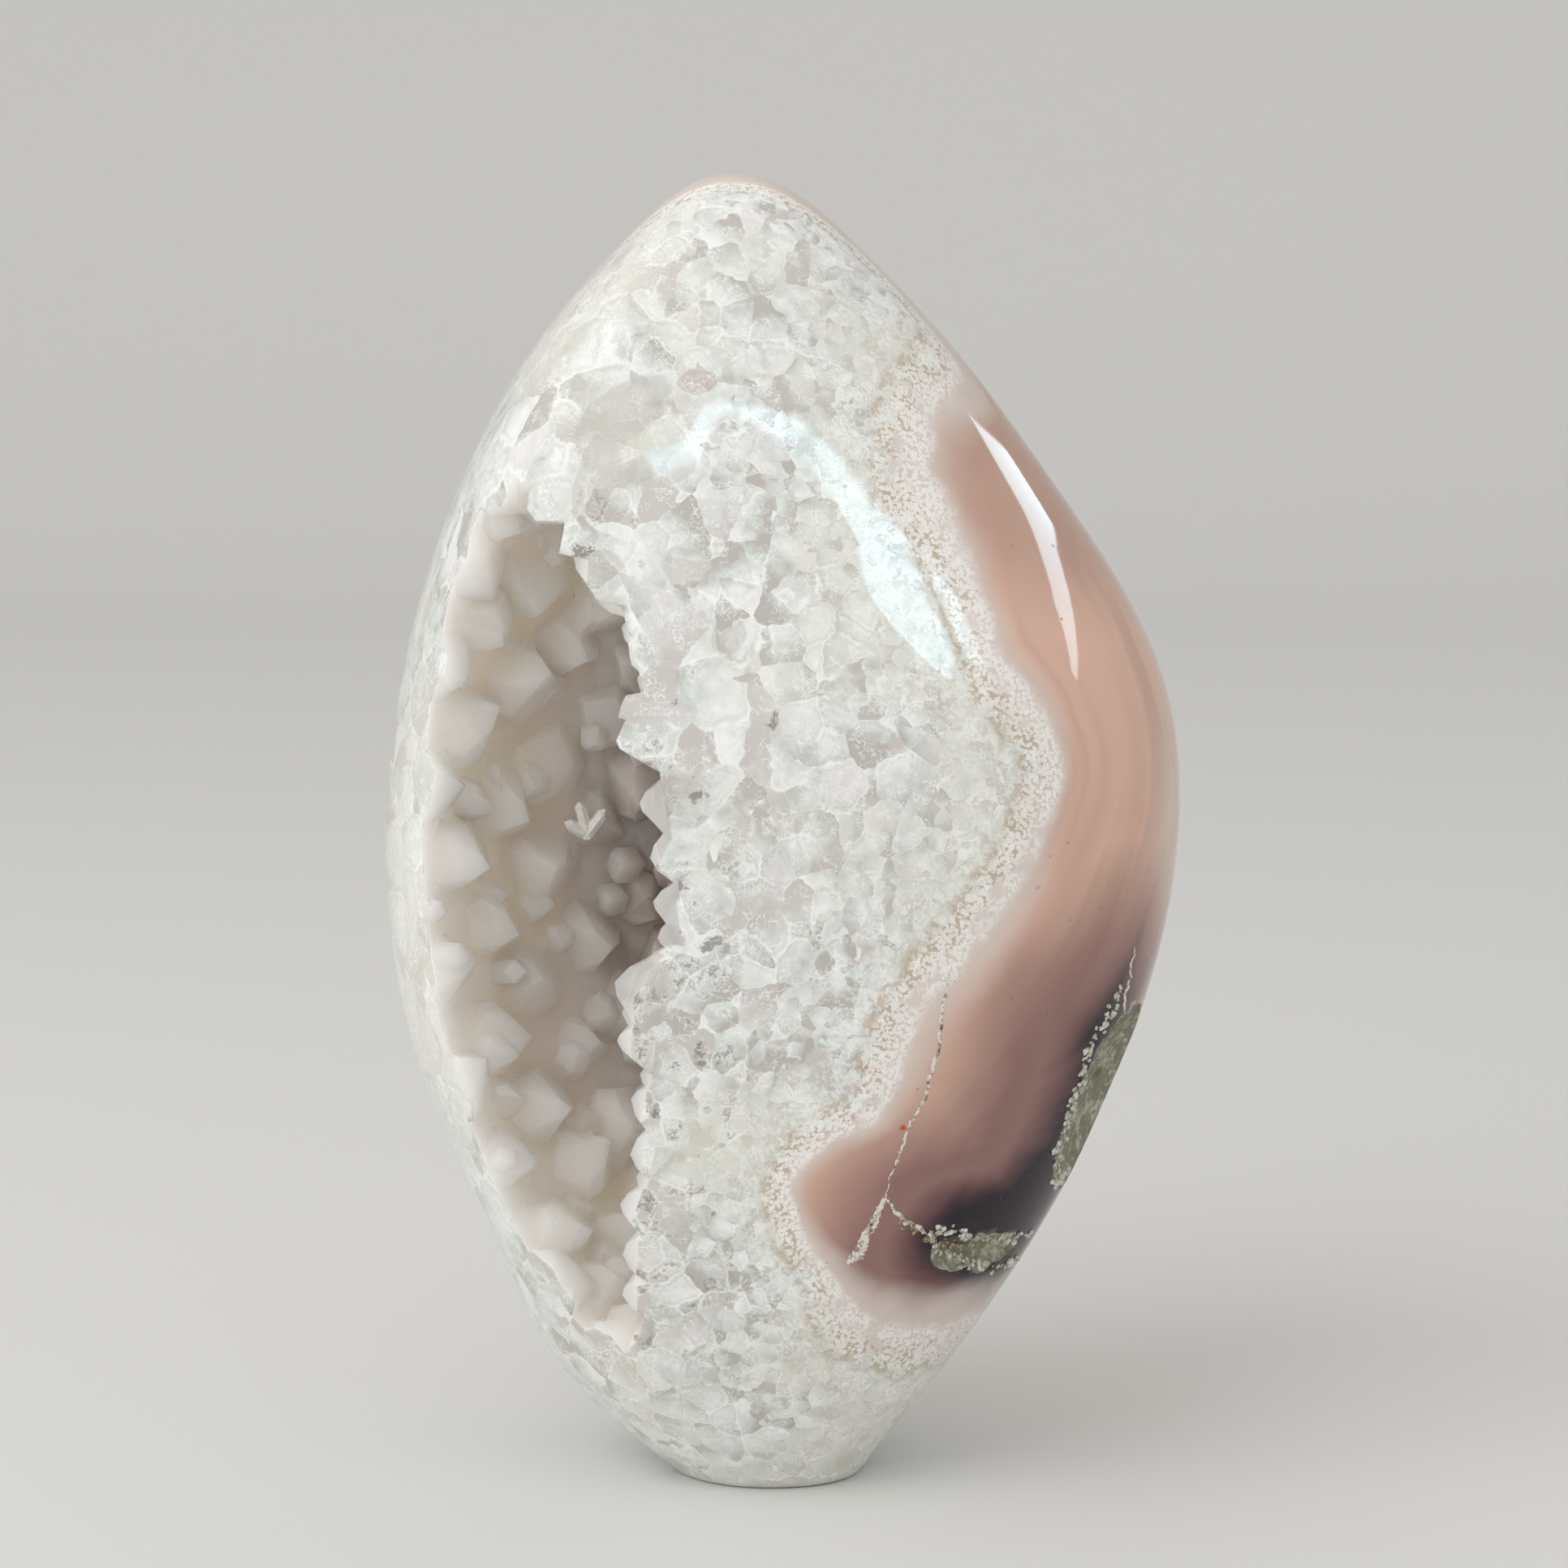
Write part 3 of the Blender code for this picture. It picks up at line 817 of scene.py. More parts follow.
def small_points(group, count, mean_radius, rng):
    """A second growth of small points, scattered between and on the large ones."""
    for direction in even_directions(count):
        wander = Vector([rng.gauss(0, SMALL_STRAY) for _ in range(3)])
        root, normal = hollow_place((direction + wander).normalized(), CRUST_THICKNESS)
        tilt = Vector([rng.gauss(0, SMALL_TILT) for _ in range(3)])
        radius = mean_radius * rng.uniform(*SMALL_SHARE)
        length = rng.uniform(*SMALL_LENGTH)
        if inside_form(root, WALL_MARGIN):
            place_point(group, root, (tilt - normal).normalized(), radius, length, rng)


def group_of(name):
    """A new collection in the scene."""
    group = bpy.data.collections.new(name)
    bpy.context.scene.collection.children.link(group)
    return group


def clear_group(group):
    """Removes a collection and its objects."""
    for made in list(group.objects):
        bpy.data.objects.remove(made)
    bpy.data.collections.remove(group)


def carve(target, operation, other):
    """Applies a Boolean with an object or with all objects of a collection."""
    change = target.modifiers.new("carve", "BOOLEAN")
    change.operation = operation
    change.solver = "MANIFOLD"
    if isinstance(other, bpy.types.Collection):
        change.operand_type = "COLLECTION"
        change.collection = other
    else:
        change.object = other
    graph = bpy.context.evaluated_depsgraph_get()
    mesh = bpy.data.meshes.new_from_object(target.evaluated_get(graph))
    target.modifiers.clear()
    if len(mesh.polygons) < 4:
        raise RuntimeError(f"{target.name}: the {operation.lower()} left nothing")
    target.data = mesh


def keep_largest_body(target):
    """Deletes every connected body but the one with the most area."""
    bm = bmesh.new()
    bm.from_mesh(target.data)
    seen, bodies = set(), []
    for face in bm.faces:
        if face in seen:
            continue
        body, front = {face}, [face]
        while front:
            for edge in front.pop().edges:
                for near in edge.link_faces:
                    if near not in body:
                        body.add(near)
                        front.append(near)
        seen |= body
        bodies.append(body)
    keep = max(bodies, key=lambda faces: sum(face.calc_area() for face in faces))
    bmesh.ops.delete(bm, geom=[f for f in bm.faces if f not in keep], context="FACES")
    bm.to_mesh(target.data)
    bm.free()


def pit_place(height, angle):
    """The frame of the polished form at a height and angle: across, up the form, and outward."""
    turn, aside, above = float(turn_at(height)), 0.02, 0.005
    across = form_point(turn, angle + aside) - form_point(turn, angle - aside)
    upward = form_point(turn + above, angle) - form_point(turn - above, angle)
    outward = across.cross(upward).normalized()
    upward = outward.cross(across).normalized()
    placing = Matrix((across.normalized(), upward, outward)).transposed().to_4x4()
    placing.translation = form_point(turn, angle)
    return placing


def rind_cutter(name, pit, roughness):
    """A lumpy cutter that leaves a pit floored with rough rind."""
    height, angle, half_width, half_height, depth, lean = pit
    placing = pit_place(height, angle) @ Matrix.Rotation(lean, 4, "Z")
    outward = placing.to_3x3() @ Vector((0, 0, 1))
    bm = bmesh.new()
    bmesh.ops.create_icosphere(bm, subdivisions=6, radius=1)
    bm.transform(placing @ Matrix.Diagonal((half_width, half_height, depth, 1)))
    middle = placing.translation
    for vertex in bm.verts:
        place = vertex.co
        lumps = noise.noise(place / LUMP_SIZE) + FINE_LUMP_SHARE * noise.noise(place / FINE_LUMP_SIZE)
        pearls = 0.5 - noise.voronoi(place / PEARL_SIZE)[0][0]
        sideways = (place - middle) - outward * (place - middle).dot(outward)
        if sideways.length > 0:
            sideways.normalize()
        vertex.co = place + sideways * EDGE_SHARE * roughness * lumps
        vertex.co += outward * roughness * (LUMP_SHARE * lumps + PEARL_SHARE * pearls)
    return new_object(name, to_mesh(bm, name))


def view_axes():
    """The right, up and forward directions of the front view."""
    rise = CAMERA_RISE
    forward = Vector((0, math.cos(rise), -math.sin(rise)))
    return Vector((1, 0, 0)), Vector((0, math.sin(rise), math.cos(rise))), forward


def in_view(points):
    """Where points appear: millimetres right of and above the middle of the front view."""
    right, up, forward = (np.array(axis) for axis in view_axes())
    offset = points - np.array(CAMERA_TARGET)
    scale = CAMERA_DISTANCE / (CAMERA_DISTANCE + offset @ forward) / MM
    return np.stack([offset @ right * scale, offset @ up * scale], axis=1)


def eye_place():
    """Where the camera of the front view stands."""
    return CAMERA_TARGET - view_axes()[2] * CAMERA_DISTANCE


def seen_hit(tree, across, up_by):
    """What appears at a place in the front view: point, normal, face and distance, or Nones."""
    right, up, forward = view_axes()
    aim = forward * CAMERA_DISTANCE + right * across * MM + up * up_by * MM
    return tree.ray_cast(eye_place(), aim.normalized())


def guide_tree():
    """The polished form without waves or hollow, to find places on from the front view."""
    mesh = form_mesh("guide", FORM_RINGS, FORM_SEGMENTS)
    tree = tree_of(mesh)
    bpy.data.meshes.remove(mesh)
    return tree


def unlean(points):
    """Slides points sideways so that the edge of the quartz stands square to the front view."""
    front = section(turn_at(points[:, 2]))[2]
    across = points[:, 0] + BAND_LEAN * (points[:, 1] - front)
    return np.stack([across, points[:, 2]], axis=1) / MM


def distance_to_line(places, line):
    """How far each place is from a line through points."""
    best = np.full(len(places), 1e9)
    for a, b in zip(line[:-1], line[1:]):
        run = b - a
        share = np.clip(((places - a) @ run) / (run @ run), 0, 1)
        best = np.minimum(best, np.linalg.norm(places - a - share[:, None] * run, axis=1))
    return best


def quartz_depth(points, tree):
    """How far each point lies inside the quartz, in millimetres. It is negative in the agate."""
    line = unlean(line_hits(BAND_LINE, tree))
    line = np.vstack([(line[0][0] + BAND_TOP[0], BAND_TOP[1]), line, line[-1] + BAND_END])
    places = unlean(points)
    edge = np.interp(places[:, 1], line[::-1, 1], line[::-1, 0])
    side = np.where(places[:, 0] < edge, 1.0, -1.0)
    side[places[:, 1] < line[-1][1]] = 1.0
    depth = side * distance_to_line(places, line)
    x, y, z = (points / MM).T
    widths = np.interp(z, *BAND_WIDTHS)
    depth /= np.where(depth < 0, widths, np.maximum(widths, LEAST_QUARTZ_WIDTH))
    cap = CAP_HEIGHT - CAP_SLOPE * (y + CAP_FRONT) - CAP_CURVE * (x - APEX_X / MM) ** 2 - z
    return np.minimum(depth, cap * CAP_STEEPNESS)


def line_hits(line, tree):
    """The points of the form that appear along a line in view, those that miss it left out."""
    found = [seen_hit(tree, *place)[0] for place in line]
    return np.array([hit for hit in found if hit is not None])


def hollow_distance(points):
    """How far each point lies outside the hollow's egg, in millimetres."""
    local = points - np.array(HOLLOW_CENTRE)
    local[:, 0] -= HOLLOW_LEAN * local[:, 2]
    local = local @ np.array(Matrix.Rotation(HOLLOW_TURN, 3, "Z"))
    reach = np.linalg.norm(local / np.array((HOLLOW_WIDTH, HOLLOW_DEPTH, HOLLOW_HEIGHT)), axis=1)
    return np.linalg.norm(local, axis=1) * (1 - 1 / reach) / MM


def stain(places, stains):
    """How strongly soft stains colour each place in view, 0 to 1."""
    clear = np.ones(len(places))
    for across, up, half_width, half_height, turn, strength in stains:
        c, s = math.cos(math.radians(turn)), math.sin(math.radians(turn))
        x, y = places[:, 0] - across, places[:, 1] - up
        reach = ((c * x + s * y) / half_width) ** 2 + ((c * y - s * x) / half_height) ** 2
        clear *= 1 - strength * np.exp(-PATCH_FALL * reach)
    return 1 - clear


def set_number(mesh, name, values):
    """Writes a number for each corner, which materials read by its name."""
    layer = mesh.attributes.new(name, "FLOAT", "POINT")
    layer.data.foreach_set("value", np.asarray(values, np.float32))


def corner_places(mesh):
    """The places of a mesh's corners, a row for each."""
    places = np.empty(len(mesh.vertices) * 3, np.float32)
    mesh.vertices.foreach_get("co", places)
    return places.reshape(-1, 3).astype(float)


def mark_stone(mesh, tree):
    """Writes what the materials read: depth in the quartz, distances, and the soft patches, the painted
    side light among them.
    """
    points = corner_places(mesh)
    depth = quartz_depth(points, tree)
    set_number(mesh, "quartz_depth", depth)
    set_number(mesh, "haze_depth", -depth / np.interp(points[:, 2] / MM, *HAZE_WIDTHS))
    rind = distance_to_line(points, line_hits(RIND_LINE, tree)) / MM
    set_number(mesh, "rind_distance", np.minimum(rind, RIND_REACH))
    right = np.clip((points[:, 0] / MM - RIM_LEFT) / RIM_LEFT_SOFT, 0, 1)
    near = np.clip((RIM_REACH - hollow_distance(points)) / RIM_SOFT, 0, 1)
    set_number(mesh, "rim", near * right)
    # How far right and back each point lies in the hollow; the crystals' painted shade grows with it.
    left = section(turn_at(points[:, 2]))[0]
    set_number(mesh, "hollow_depth", (points[:, 0] - left + BACK_SHARE * points[:, 1]) / MM)
    places = in_view(points)
    front = np.clip(-points[:, 1] / (FRONT_FADE * MM), 0, 1)
    for name, patches in PATCHES.items():
        set_number(mesh, name, stain(places, patches) * front)


def sort_faces(mesh, form_tree):
    """Gives each face its finish: 0 polished, 1 crystal, 2 rind. Crystals and the base are flat."""
    finish = np.ones(len(mesh.polygons), np.int32)
    smooth = np.zeros(len(mesh.polygons), bool)
    for i, face in enumerate(mesh.polygons):
        _, normal, _, distance = form_tree.find_nearest(face.center, SEARCH_REACH)
        on_form = distance is not None and distance < POLISH_REACH
        if on_form and abs(normal.dot(face.normal)) > POLISH_LINE:
            finish[i] = 0
            smooth[i] = face.center.z > BASE_TOP
        elif face.center.x > RIND_SIDE:
            finish[i] = 2
            smooth[i] = True
    mesh.polygons.foreach_set("material_index", finish)
    mesh.polygons.foreach_set("use_smooth", smooth)


def quartz_colour(recipe, colours, depth):
    """Cut quartz: angular grains, fine beside the agate, coarse and clearer at the hollow, each with
    painted shade across it.
    """
    place = recipe.shaken(0.0016, 0.0011)
    spread = depth + (recipe.grain(0.006, 1.0) - 0.5) * 16
    per_metre = 950.0 - recipe.over(spread, 3.5) * 370 - recipe.over(spread, 11.0) * 240
    per_metre = per_metre - recipe.over(spread, 22.0) * 135
    grain = recipe.add("ShaderNodeTexVoronoi", None, {"Vector": place, "Scale": per_metre})
    parts = recipe.add("ShaderNodeSeparateColor", None, {0: Reading(recipe, grain.outputs["Color"])})
    first, second, third = (Reading(recipe, parts.outputs[i]) for i in range(3))
    edge = recipe.read(
        "ShaderNodeTexVoronoi", {"feature": "DISTANCE_TO_EDGE"}, {"Vector": place, "Scale": per_metre}
    )
    # Painted shade: each grain grows lighter towards one side and darker towards the other, along its own
    # random heading, as a facet would.
    away = recipe.vector("SUBTRACT", place, Reading(recipe, grain.outputs["Position"]))
    heading = recipe.vector("SUBTRACT", Reading(recipe, grain.outputs["Color"]), (0.5, 0.5, 0.5))
    lean = recipe.read("ShaderNodeVectorMath", {"operation": "DOT_PRODUCT"}, {0: away, 1: heading}, 1)
    fine = recipe.grain(0.0009, 3.0, 0.65, place)
    patch = recipe.grain(0.0034, 2.0, 0.6)
    cloud = recipe.grain(0.018, 1.0)
    near = recipe.attribute("rim")

    # The tone carries the painted shade across each grain.
    tone = 0.34 + first * 0.26 + lean * per_metre * 1.4 + (fine - 0.5) * 0.8 + (patch - 0.5) * 0.9
    tone = tone - recipe.over(third, 0.86) * 0.35 - near * recipe.over(second, 0.5) * 0.22
    ramp = recipe.read("ShaderNodeValToRGB", {"stops": (
        (0.0, colours.window), (0.30, colours.grey), (0.62, colours.milk), (1.0, colours.pale),
    )}, {0: tone})
    colour = recipe.mix(recipe.step(second, 0.6, 0.95) * 0.45, ramp, colours.blush)
    colour = recipe.mix(recipe.step(cloud, 0.48, 0.66) * 0.6, colour, colours.honey)
    large = recipe.step(recipe.attribute("clear_grain") + (patch - 0.5) * 0.3, 0.40, 0.48)
    colour = recipe.mix(large * 0.42, colour, colours.window)
    brown = recipe.step(recipe.attribute("tea_grain") + (patch - 0.5) * 1.6, 0.42, 0.48)
    colour = recipe.mix(brown * 0.5, colour, colours.tea)
    flaw = near * recipe.step(patch + third * 0.2, 0.66, 0.74) * recipe.step(fine, 0.45, 0.56)
    seen = recipe.step(recipe.attribute("smoke") + (fine - 0.5) * 1.6, 0.40, 0.60)
    colour = recipe.mix(recipe.most(flaw * 0.7, seen * 0.75), colour, colours.smoke)
    shadow = recipe.between(edge, 0.07, 0.10, 0.05) * recipe.step(patch + first * 0.25, 0.56, 0.66)
    colour = recipe.mix(shadow * 0.25, colour, colours.window)
    line = recipe.step(edge, 0.034, 0.006) * recipe.step(fine + patch * 1.4, 1.14, 1.36)
    crumbs = recipe.step(edge, 0.13, 0.03) * recipe.step(patch, 0.50, 0.62) * recipe.step(fine, 0.50, 0.57)
    winding = recipe.grain(0.0017, 2.0, 0.6, place)
    vein = recipe.step(recipe.ridge(winding), 0.020, 0.004) * recipe.step(patch, 0.44, 0.58)
    squiggle = recipe.step(recipe.ridge(recipe.grain(0.00055, 1.0)), 0.045, 0.018)
    squiggle = squiggle * recipe.step(winding, 0.44, 0.58)
    white = recipe.most(recipe.most(line * 0.8, crumbs * 0.8), recipe.most(vein * 0.55, squiggle * 0.6))
    return recipe.mix(white * (1 - large * 0.5), colour, colours.crumb)


def agate_colour(recipe, colours):
    """Agate: haze, then peach with soft streaks that follow its edge, darker towards the rind, with a
    painted side light along its right edge.
    """
    inside = recipe.attribute("haze_depth")
    parts = recipe.add("ShaderNodeSeparateXYZ", None, {0: recipe.place})
    height = Reading(recipe, parts.outputs[2])
    streaks = recipe.read("ShaderNodeCombineXYZ", None, {
        0: recipe.attribute("quartz_depth") * 0.30, 1: Reading(recipe, parts.outputs[1]) * 18.0,
        2: height * 20.0,
    })
    flow = recipe.read(
        "ShaderNodeTexNoise", None, {"Vector": streaks, "Scale": 1.0, "Detail": 1.5, "Roughness": 0.4}
    ) - 0.5
    mottle = recipe.grain(0.0050, 2.0, 0.5) - 0.5
    middle = recipe.step(height, 0.040, 0.056)
    away = recipe.attribute("rind_distance") + mottle * 1.6 + flow * (middle * 5.0 + 2.0)
    away = away - recipe.attribute("dark") * 9.0 - recipe.step(height, 0.076, 0.090) * 4.0
    away = away - (1 - middle) * recipe.step(away, 6.0, 10.0) * 3.4
    colour = recipe.read("ShaderNodeValToRGB", {"stops": (
        (0.05, colours.night), (0.14, colours.plum), (0.30, colours.clay), (0.50, colours.rose),
        (0.78, colours.tan), (1.0, colours.peach),
    )}, {0: away * (1 / 16)})
    streak = recipe.step(flow, -0.06, 0.16) * middle
    colour = recipe.mix(streak * 0.30, colour, colours.rose)
    rosy = recipe.step(recipe.attribute("rose") + mottle * 0.2, 0.05, 0.9)
    colour = recipe.mix(rosy, colour, colours.rose)
    colour = recipe.mix(recipe.step(recipe.attribute("ember"), 0.1, 0.9), colour, colours.ember)
    haze = 1 - recipe.step(inside + mottle * 1.6, 1.2, 4.4)
    # The haze colour covers the hazy agate and the painted side light along the right edge.
    return recipe.mix(recipe.most(haze * 0.9, recipe.attribute("pale_edge")), colour, colours.haze)


def polished_material(colours):
    """The polished surface: quartz on one side, agate on the other, and granules between them."""
    recipe = Recipe("polished_agate")
    wander = recipe.grain(0.0035, 3.0, 0.6) - 0.5
    depth = recipe.attribute("quartz_depth") + wander * 2.6
    crumble = recipe.grain(0.00045, 2.0, 0.7)
    crowd = recipe.grain(0.0018, 2.0, 0.6)
    ring = recipe.cells(0.00038, recipe.shaken(0.0009, 0.0004)) + (crumble - 0.5) * 0.7
    bead = recipe.between(ring, 0.22, 0.52, 0.14)
    beige = recipe.between(depth, 0.3, 2.2, 1.4) * recipe.step(crowd + (crumble - 0.5) * 0.7, 0.44, 0.56)
    beads = bead * recipe.between(depth, -1.6, 1.4, 1.4) * recipe.step(crowd + wander, 0.20, 0.50)
    frost = recipe.between(depth, -1.7, -0.2, 1.6)

    dust = recipe.step(crumble, 0.50, 0.60) * recipe.between(depth, 1.0, 5.0, 3.0)
    quartz = recipe.mix(dust * 0.45, quartz_colour(recipe, colours, depth), colours.crumb)
    quartz = recipe.mix(beige * 0.8, quartz, colours.beige)
    quartz = recipe.mix(beads * 0.7, quartz, colours.granule)
    agate = recipe.mix(frost * 0.8, agate_colour(recipe, colours), colours.frost)
    agate = recipe.mix(beige * 0.7, agate, colours.beige)
    agate = recipe.mix(beads * 0.7, agate, colours.granule)

    pits = recipe.step(recipe.cells(0.0025), 0.06, 0.03)
    gloss = {
        "Roughness": 0.05, "IOR": 1.54, "Subsurface Radius": (1.0, 1.0, 1.0),
        "Normal": recipe.bump(0 - pits, 0.0002, 0.8),
    }
    recipe.fill(recipe.surface, {
        **gloss, "Base Color": agate, "Specular IOR Level": 0.3, "Subsurface Weight": 0.12,
        "Subsurface Scale": 0.0010,
    })
    other = recipe.add("ShaderNodeBsdfPrincipled", None, {
        **gloss, "Base Color": quartz, "Specular IOR Level": 0.4, "Subsurface Weight": 0.25,
        "Subsurface Scale": 0.0016,
    })
    both = recipe.add("ShaderNodeMixShader", None, {0: recipe.over(depth, 0.6)})
    recipe.tree.links.new(recipe.surface.outputs[0], both.inputs[1])
    recipe.tree.links.new(other.outputs[0], both.inputs[2])
    recipe.tree.links.new(both.outputs[0], recipe.tree.nodes["Material Output"].inputs["Surface"])
    return recipe.material


def druse_material(colours):
    """Natural crystal faces: milky quartz, glossy, with growth lines, and painted shade that darkens them
    deep in the hollow.
    """
    recipe = Recipe("quartz_crystal")
    cloud = recipe.grain(0.0040, 3.0, 0.6)
    depth = recipe.attribute("hollow_depth") + (cloud - 0.5) * 8
    # Painted shade: the crystals go from their colour at the rim to a darker one deep in the hollow, where
    # shade falls.
    colour = recipe.mix(recipe.step(depth, 14.5, 28.0), colours.druse, colours.druse_painted_shade)
    colour = recipe.mix(recipe.step(cloud, 0.50, 0.74) * 0.35, colour, colours.crumb)
    tint = recipe.add("ShaderNodeSeparateColor", None, {0: recipe.cells(0.005, output="Color")})
    colour = recipe.mix(Reading(recipe, tint.outputs[0]) * 0.30, colour, colours.blush)
    lines = recipe.grain(0.0006, 1.0, place=recipe.stretch(recipe.place, (1, 1, 5)))
    return recipe.finish(
        Base_Color=colour, Roughness=0.13, IOR=1.54, Normal=recipe.bump(lines, 0.00006, 0.3),
        Subsurface_Weight=1.0, Subsurface_Radius=(1.0, 0.95, 0.9), Subsurface_Scale=0.011,
    )


def rind_material(colours):
    """Rough rind: fine grey green grains with pale and rusty patches."""
    recipe = Recipe("rough_rind")
    grains = recipe.grain(0.0008, 3.0, 0.7)
    patch = recipe.grain(0.0022, 3.0, 0.65)
    pale = recipe.step(patch + (grains - 0.5) * 0.8, 0.42, 0.66)
    colour = recipe.mix(pale, colours.rind, colours.rind_pale)
    colour = recipe.mix(recipe.step(recipe.grain(0.003, 3.0), 0.62, 0.72) * 0.7, colour, colours.rind_brown)
    colour = recipe.mix(recipe.step(grains, 0.60, 0.72) * 0.6, colour, colours.rind_white)
    normal = recipe.bump(recipe.grain(0.0004, 4.0, 0.7), 0.0002, 0.8)
    return recipe.finish(Base_Color=colour, Roughness=0.85, Normal=normal)


def seam_material(colours):
    """The crust in a healed crack: dull, with white flecks and dark gaps."""
    recipe = Recipe("healed_crack")
    flecks = recipe.grain(0.0006, 3.0, 0.7)
    colour = recipe.mix(recipe.step(flecks, 0.43, 0.52), colours.seam, colours.rind_white)
    colour = recipe.mix(recipe.step(flecks, 0.37, 0.33), colour, colours.seam_dark)
    normal = recipe.bump(recipe.grain(0.00025, 2.0, 0.7), 0.0001, 0.6)
    return recipe.finish(Base_Color=colour, Roughness=0.6, Normal=normal)


def crumb_material(name, low, high):
    """Rough crumbs between two colours."""
    recipe = Recipe(name)
    colour = recipe.mix(recipe.step(recipe.grain(0.0004, 2.0), 0.40, 0.60), low, high)
    normal = recipe.bump(recipe.grain(0.0002, 2.0, 0.7), 0.0001, 0.5)
    return recipe.finish(Base_Color=colour, Roughness=0.55, Normal=normal)


def clear_material():
    """Clear quartz: see-through, with quartz's own refraction, a little milk and absorption."""
    recipe = Recipe("clear_quartz")
    recipe.finish(
        Base_Color=(0.96, 0.94, 0.92), Roughness=0.04, IOR=1.544, Transmission_Weight=0.55
    )
    absorb = recipe.add("ShaderNodeVolumeAbsorption", None, {"Color": (0.86, 0.80, 0.78), "Density": 60.0})
    output = recipe.tree.nodes["Material Output"]
    recipe.tree.links.new(absorb.outputs[0], output.inputs["Volume"])
    return recipe.material


def plain_material(name, colour, roughness):
    """One even colour."""
    recipe = Recipe(name)
    return recipe.finish(Base_Color=colour, Roughness=roughness)


def tree_of(mesh):
    """The faces of a mesh, to look for the nearest one or for what a ray hits."""
    bm = bmesh.new()
    bm.from_mesh(mesh)
    tree = BVHTree.FromBMesh(bm)
    bm.free()
    return tree


def seam_mesh(line, start, end, tree, number):
    """A thin crusty seam that fills a crack. Its half width runs from start to end, in view."""
    places, widths = [], []
    whole = sum(math.dist(a, b) for a, b in zip(line[:-1], line[1:]))
    run = 0.0
    for a, b in zip(line[:-1], line[1:]):
        length = math.dist(a, b)
        across = Vector((a[1] - b[1], b[0] - a[0])) / length
        for i in range(max(1, round(length / SEAM_STEP))):
            share = i * SEAM_STEP / length
            place = Vector(a).lerp(Vector(b), share)
            mark = Vector((place.x, place.y, number * SEAM_SPACING))
            place += across * sum(reach * noise.noise(mark / size) for reach, size in SEAM_WANDER)
            along = (run + share * length) / whole
            taper = min(1.0, SEAM_END[0] * min(along, 1 - along) + SEAM_END[1])
            ragged = SEAM_WIDTH[0] + SEAM_WIDTH[1] * abs(noise.noise(mark / SEAM_WIDTH[2]))
            places.append((place, across))
            widths.append((start + (end - start) * along) * taper * ragged)
        run += length
    bm = bmesh.new()
    rings = []
    for (place, across), width in zip(places, widths):
        ring = []
        for side, lift in SEAM_SECTION:
            spot = place + across * side * width
            hit, normal, _, _ = seen_hit(tree, spot.x, spot.y)
            if hit is None:
                raise RuntimeError("a crack leaves the stone")
            rough = SEAM_ROUGH[0] * noise.noise(Vector((spot.x, spot.y, side)) / SEAM_ROUGH[1])
            ring.append(bm.verts.new(hit + normal * (lift + rough) * MM))
        rings.append(ring)
    for lower, upper in zip(rings[:-1], rings[1:]):
        for i in range(len(lower)):
            j = (i + 1) % len(lower)
            bm.faces.new((lower[i], lower[j], upper[j], upper[i]))
    bm.faces.new(rings[0][::-1])
    bm.faces.new(rings[-1])
    bmesh.ops.recalc_face_normals(bm, faces=bm.faces[:])
    return to_mesh(bm, f"healed_crack_{number}")


def add_lump(bm, place, normal, radius, flatness, rough):
    """Adds a rough round lump, half sunk in the stone, at a place on its surface."""
    made = bmesh.ops.create_icosphere(bm, subdivisions=2, radius=radius)["verts"]
    for vertex in made:
        vertex.co *= 1 + rough * noise.noise(vertex.co / radius + place * LUMP_SCATTER)
    placing = normal.to_track_quat("Z", "Y").to_matrix().to_4x4() @ Matrix.Diagonal((1, 1, flatness, 1))
    placing.translation = place
    bmesh.ops.transform(bm, matrix=placing, verts=made)


def spot_mesh(tree):
    """A small flat bead of rust on the polish."""
    hit, normal, _, _ = seen_hit(tree, *RUST_SPOT)
    bm = bmesh.new()
    add_lump(bm, hit, normal, RUST_RADIUS * MM, RUST_FLATNESS, RUST_ROUGHNESS)
    return to_mesh(bm, "rust_spot")


def crumb_mesh(name, rusty, tree, rng):
    """Crumbs of one kind, sunk into the stone in clumps along their lines."""
    bm = bmesh.new()
    for kind, line, gap, least, greatest in CRUMB_LINES:
        if kind != rusty:
            continue
        for a, b in zip(line[:-1], line[1:]):
            for i in range(max(1, round(math.dist(a, b) / gap))):
                spot = Vector(a).lerp(Vector(b), i * gap / math.dist(a, b))
                clump = 0.5 + noise.noise(Vector((*spot, 0.0)) / CLUMP_LENGTH)
                spot += Vector((rng.gauss(0, CRUMB_SPREAD), rng.gauss(0, CRUMB_SPREAD)))
                radius = least + (greatest - least) * rng.random() ** 2 + clump * CLUMP_GROWTH
                hit, normal, _, _ = seen_hit(tree, *spot)
                if hit is not None:
                    flatness = rng.uniform(*CRUMB_FLATNESS)
                    add_lump(bm, hit, normal, radius * MM, flatness, CRUMB_ROUGHNESS)
    return to_mesh(bm, name)


